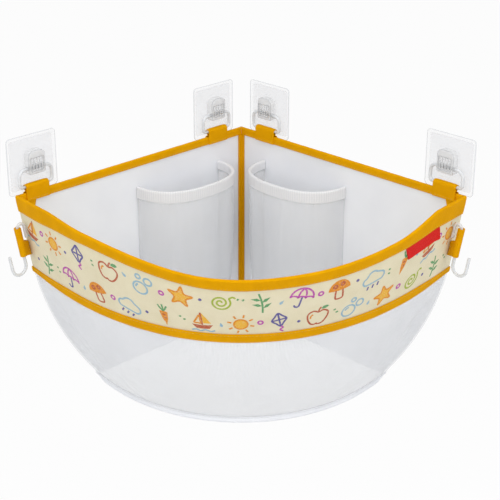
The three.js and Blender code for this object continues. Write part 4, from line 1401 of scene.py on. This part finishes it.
# The side hooks: a mustard webbing sleeve sewn to each end of the band, and a milky S-shaped hook whose
# short curl hangs on the sleeve's upper edge, so that the hook swivels in the sleeve.
sleeve_top = {"right": 25.3, "left": 27.5}
sleeve_standoff = {"right": 20.0, "left": 13.0}
sleeve_length, sleeve_neck_length, sleeve_fillet, sleeve_reach = 32.0, 16.0, 6.0, 11.5
sleeve_webbing, sleeve_neck, sleeve_slant = 1.4, 3.2, 5.5
hook_wire, curl_radius, curl_tail = 3.4, 4, 13
crook_radius, crook_drop, crook_tip = 8.25, 10, 16
bore = hook_wire / 2 + 0.5
loop_radius = bore + sleeve_webbing
curl_centre = seat - math.sqrt((curl_radius - hook_wire / 2) ** 2 - (curl_radius - bore) ** 2)
crook_centre = -sleeve_length - crook_drop

s_hook = bent_wire(
    "s_hook",
    [
        (-2 * curl_radius, curl_centre - curl_tail),
        (-2 * curl_radius, curl_centre + curl_radius),
        (0, curl_centre + curl_radius),
        (0, crook_centre - crook_radius),
        (2 * crook_radius, crook_centre - crook_radius),
        (2 * crook_radius, crook_centre + crook_tip),
    ],
    [0, curl_radius - 0.01, curl_radius - 0.01, crook_radius - 0.01, crook_radius - 0.01, 0],
    hook_wire,
    False,
)
s_hook.data.materials.append(milky_plastic)


def sleeve_section(share):
    """The webbing's outer and inner line round the hook, as distance out from the band's edge and off the
    wall: at share 0 a closed tube, and at share 1 both layers run on to the band."""
    middle = -sleeve_neck - sleeve_webbing
    lines = []
    for radius, half_neck in ((loop_radius, sleeve_webbing), (bore, 0.05)):
        ends = []
        for way in (1, -1):
            closed = math.radians(215 - 1.5 * way)
            near = Vector((math.cos(closed), math.sin(closed))) * (radius + 0.35)
            far = Vector((seat - sleeve_reach, middle + half_neck * way))
            ends.append(near.lerp(far, share))
        touch = []
        for end, way in zip(ends, (1, -1)):
            aim_at = math.atan2(end.y, end.x) + 2 * math.pi
            touch.append(aim_at - way * math.acos(radius / end.length))
        turns = steps(touch[0], touch[1] - 2 * math.pi, 26)
        loop = [Vector((math.cos(a), math.sin(a))) * radius for a in turns]
        front = [ends[0].lerp(loop[0], k) for k in (0, 0.33, 0.67)]
        back = [loop[-1].lerp(ends[1], k) for k in (0.33, 0.67, 1)]
        lines.append(front + loop + back)
    return lines


def slant(x):
    """The webbing is sewn on with a slant, so that its neck runs down to the band."""
    share = (-x - loop_radius / 2) / (sleeve_reach - loop_radius / 2)
    return sleeve_slant * min(1.0, max(0.0, share))


# From the foot up: the neck, its rounded end, and the closed tube above it
neck_top = -sleeve_length + sleeve_neck_length
sleeve_stations = [(y, 1.0) for y in steps(-sleeve_length, neck_top, 10)]
sleeve_stations += [(neck_top + 0.1 * k, 1.0 - 0.11 * k) for k in (1, 2, 3, 4)]
for a in steps(0, quarter, 8)[1:]:
    sleeve_stations.append((neck_top + 0.4 + sleeve_fillet * (1 - math.cos(a)), 0.56 * (1 - math.sin(a))))
sleeve_stations += [(y, 0.0) for y in steps(sleeve_stations[-1][0], 0, 8)[1:]]

for side in ("right", "left"):
    standoff = sleeve_standoff[side]
    neck_turn = math.atan2(standoff - sleeve_neck - wall_gap, rim_reach - wall_gap)
    band_turn = quarter - neck_turn if side == "left" else neck_turn
    edge = []
    for below in (sleeve_top[side], 0):
        p = band_line(band_turn, below, 0)
        edge.append(Vector((wall_gap + p.x * math.cos(neck_turn), p.y)))
    up = (edge[1] - edge[0]).normalized()
    origin = edge[0] + Vector((up.y, -up.x)) * sleeve_reach

    def by_sleeve(x, y, z):
        """A point of the sleeve's frame: out from the band's edge, up along it, and off the wall."""
        flat = origin + Vector((up.y, -up.x)) * x + up * y
        return on_wall(side, flat.x, flat.y, standoff + z)

    def sleeve_faces(station):
        y, share = station
        wear = 1 + 0.03 * noise.noise(Vector((y / 6, 1.1, 0.2)))
        outer, inner = sleeve_section(share)
        return (
            [by_sleeve(p.x * wear, y - slant(p.x), p.y * wear) for p in outer],
            [by_sleeve(p.x, y - slant(p.x), p.y) for p in inner],
        )

    sleeve = cloth_strip("sleeve_" + side, sleeve_stations, sleeve_faces, mustard_tape)
    dress(sleeve, "mustard_tape", "hook_sleeve_" + side)
    outer = sleeve_section(1.0)[0]
    layer = (outer[3] - outer[0]).normalized()
    lift = Vector((-layer.y, layer.x))
    sewn = outer[0] + layer * 3.2 + lift * 0.1
    heights = [y - slant(sewn.x) for y in steps(1.5 - sleeve_length, neck_top - 1, 10)]
    row = [by_sleeve(sewn.x, y, sewn.y) for y in heights]
    out_of_layer = by_sleeve(lift.x, 0, lift.y) - by_sleeve(0, 0, 0)
    stitches = sew("sleeve_stitches_" + side, row, lambda hole: out_of_layer, "mustard_tape")

    hook = s_hook.copy()
    hook.data = s_hook.data.copy()
    hook.name = "s_hook_" + side
    for v in hook.data.vertices:
        v.co = by_sleeve(v.co.x * 1000, v.co.y * 1000, v.co.z * 1000) * 0.001
    if side == "left":
        hook.data.flip_normals()
    bpy.context.scene.collection.objects.link(hook)
    smooth(hook, 35)
    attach(hook, "side_hook_" + side)
    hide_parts("side_hook_" + side)
bpy.data.objects.remove(s_hook)


# The scene is brought up to date at the end.
bpy.context.view_layer.update()
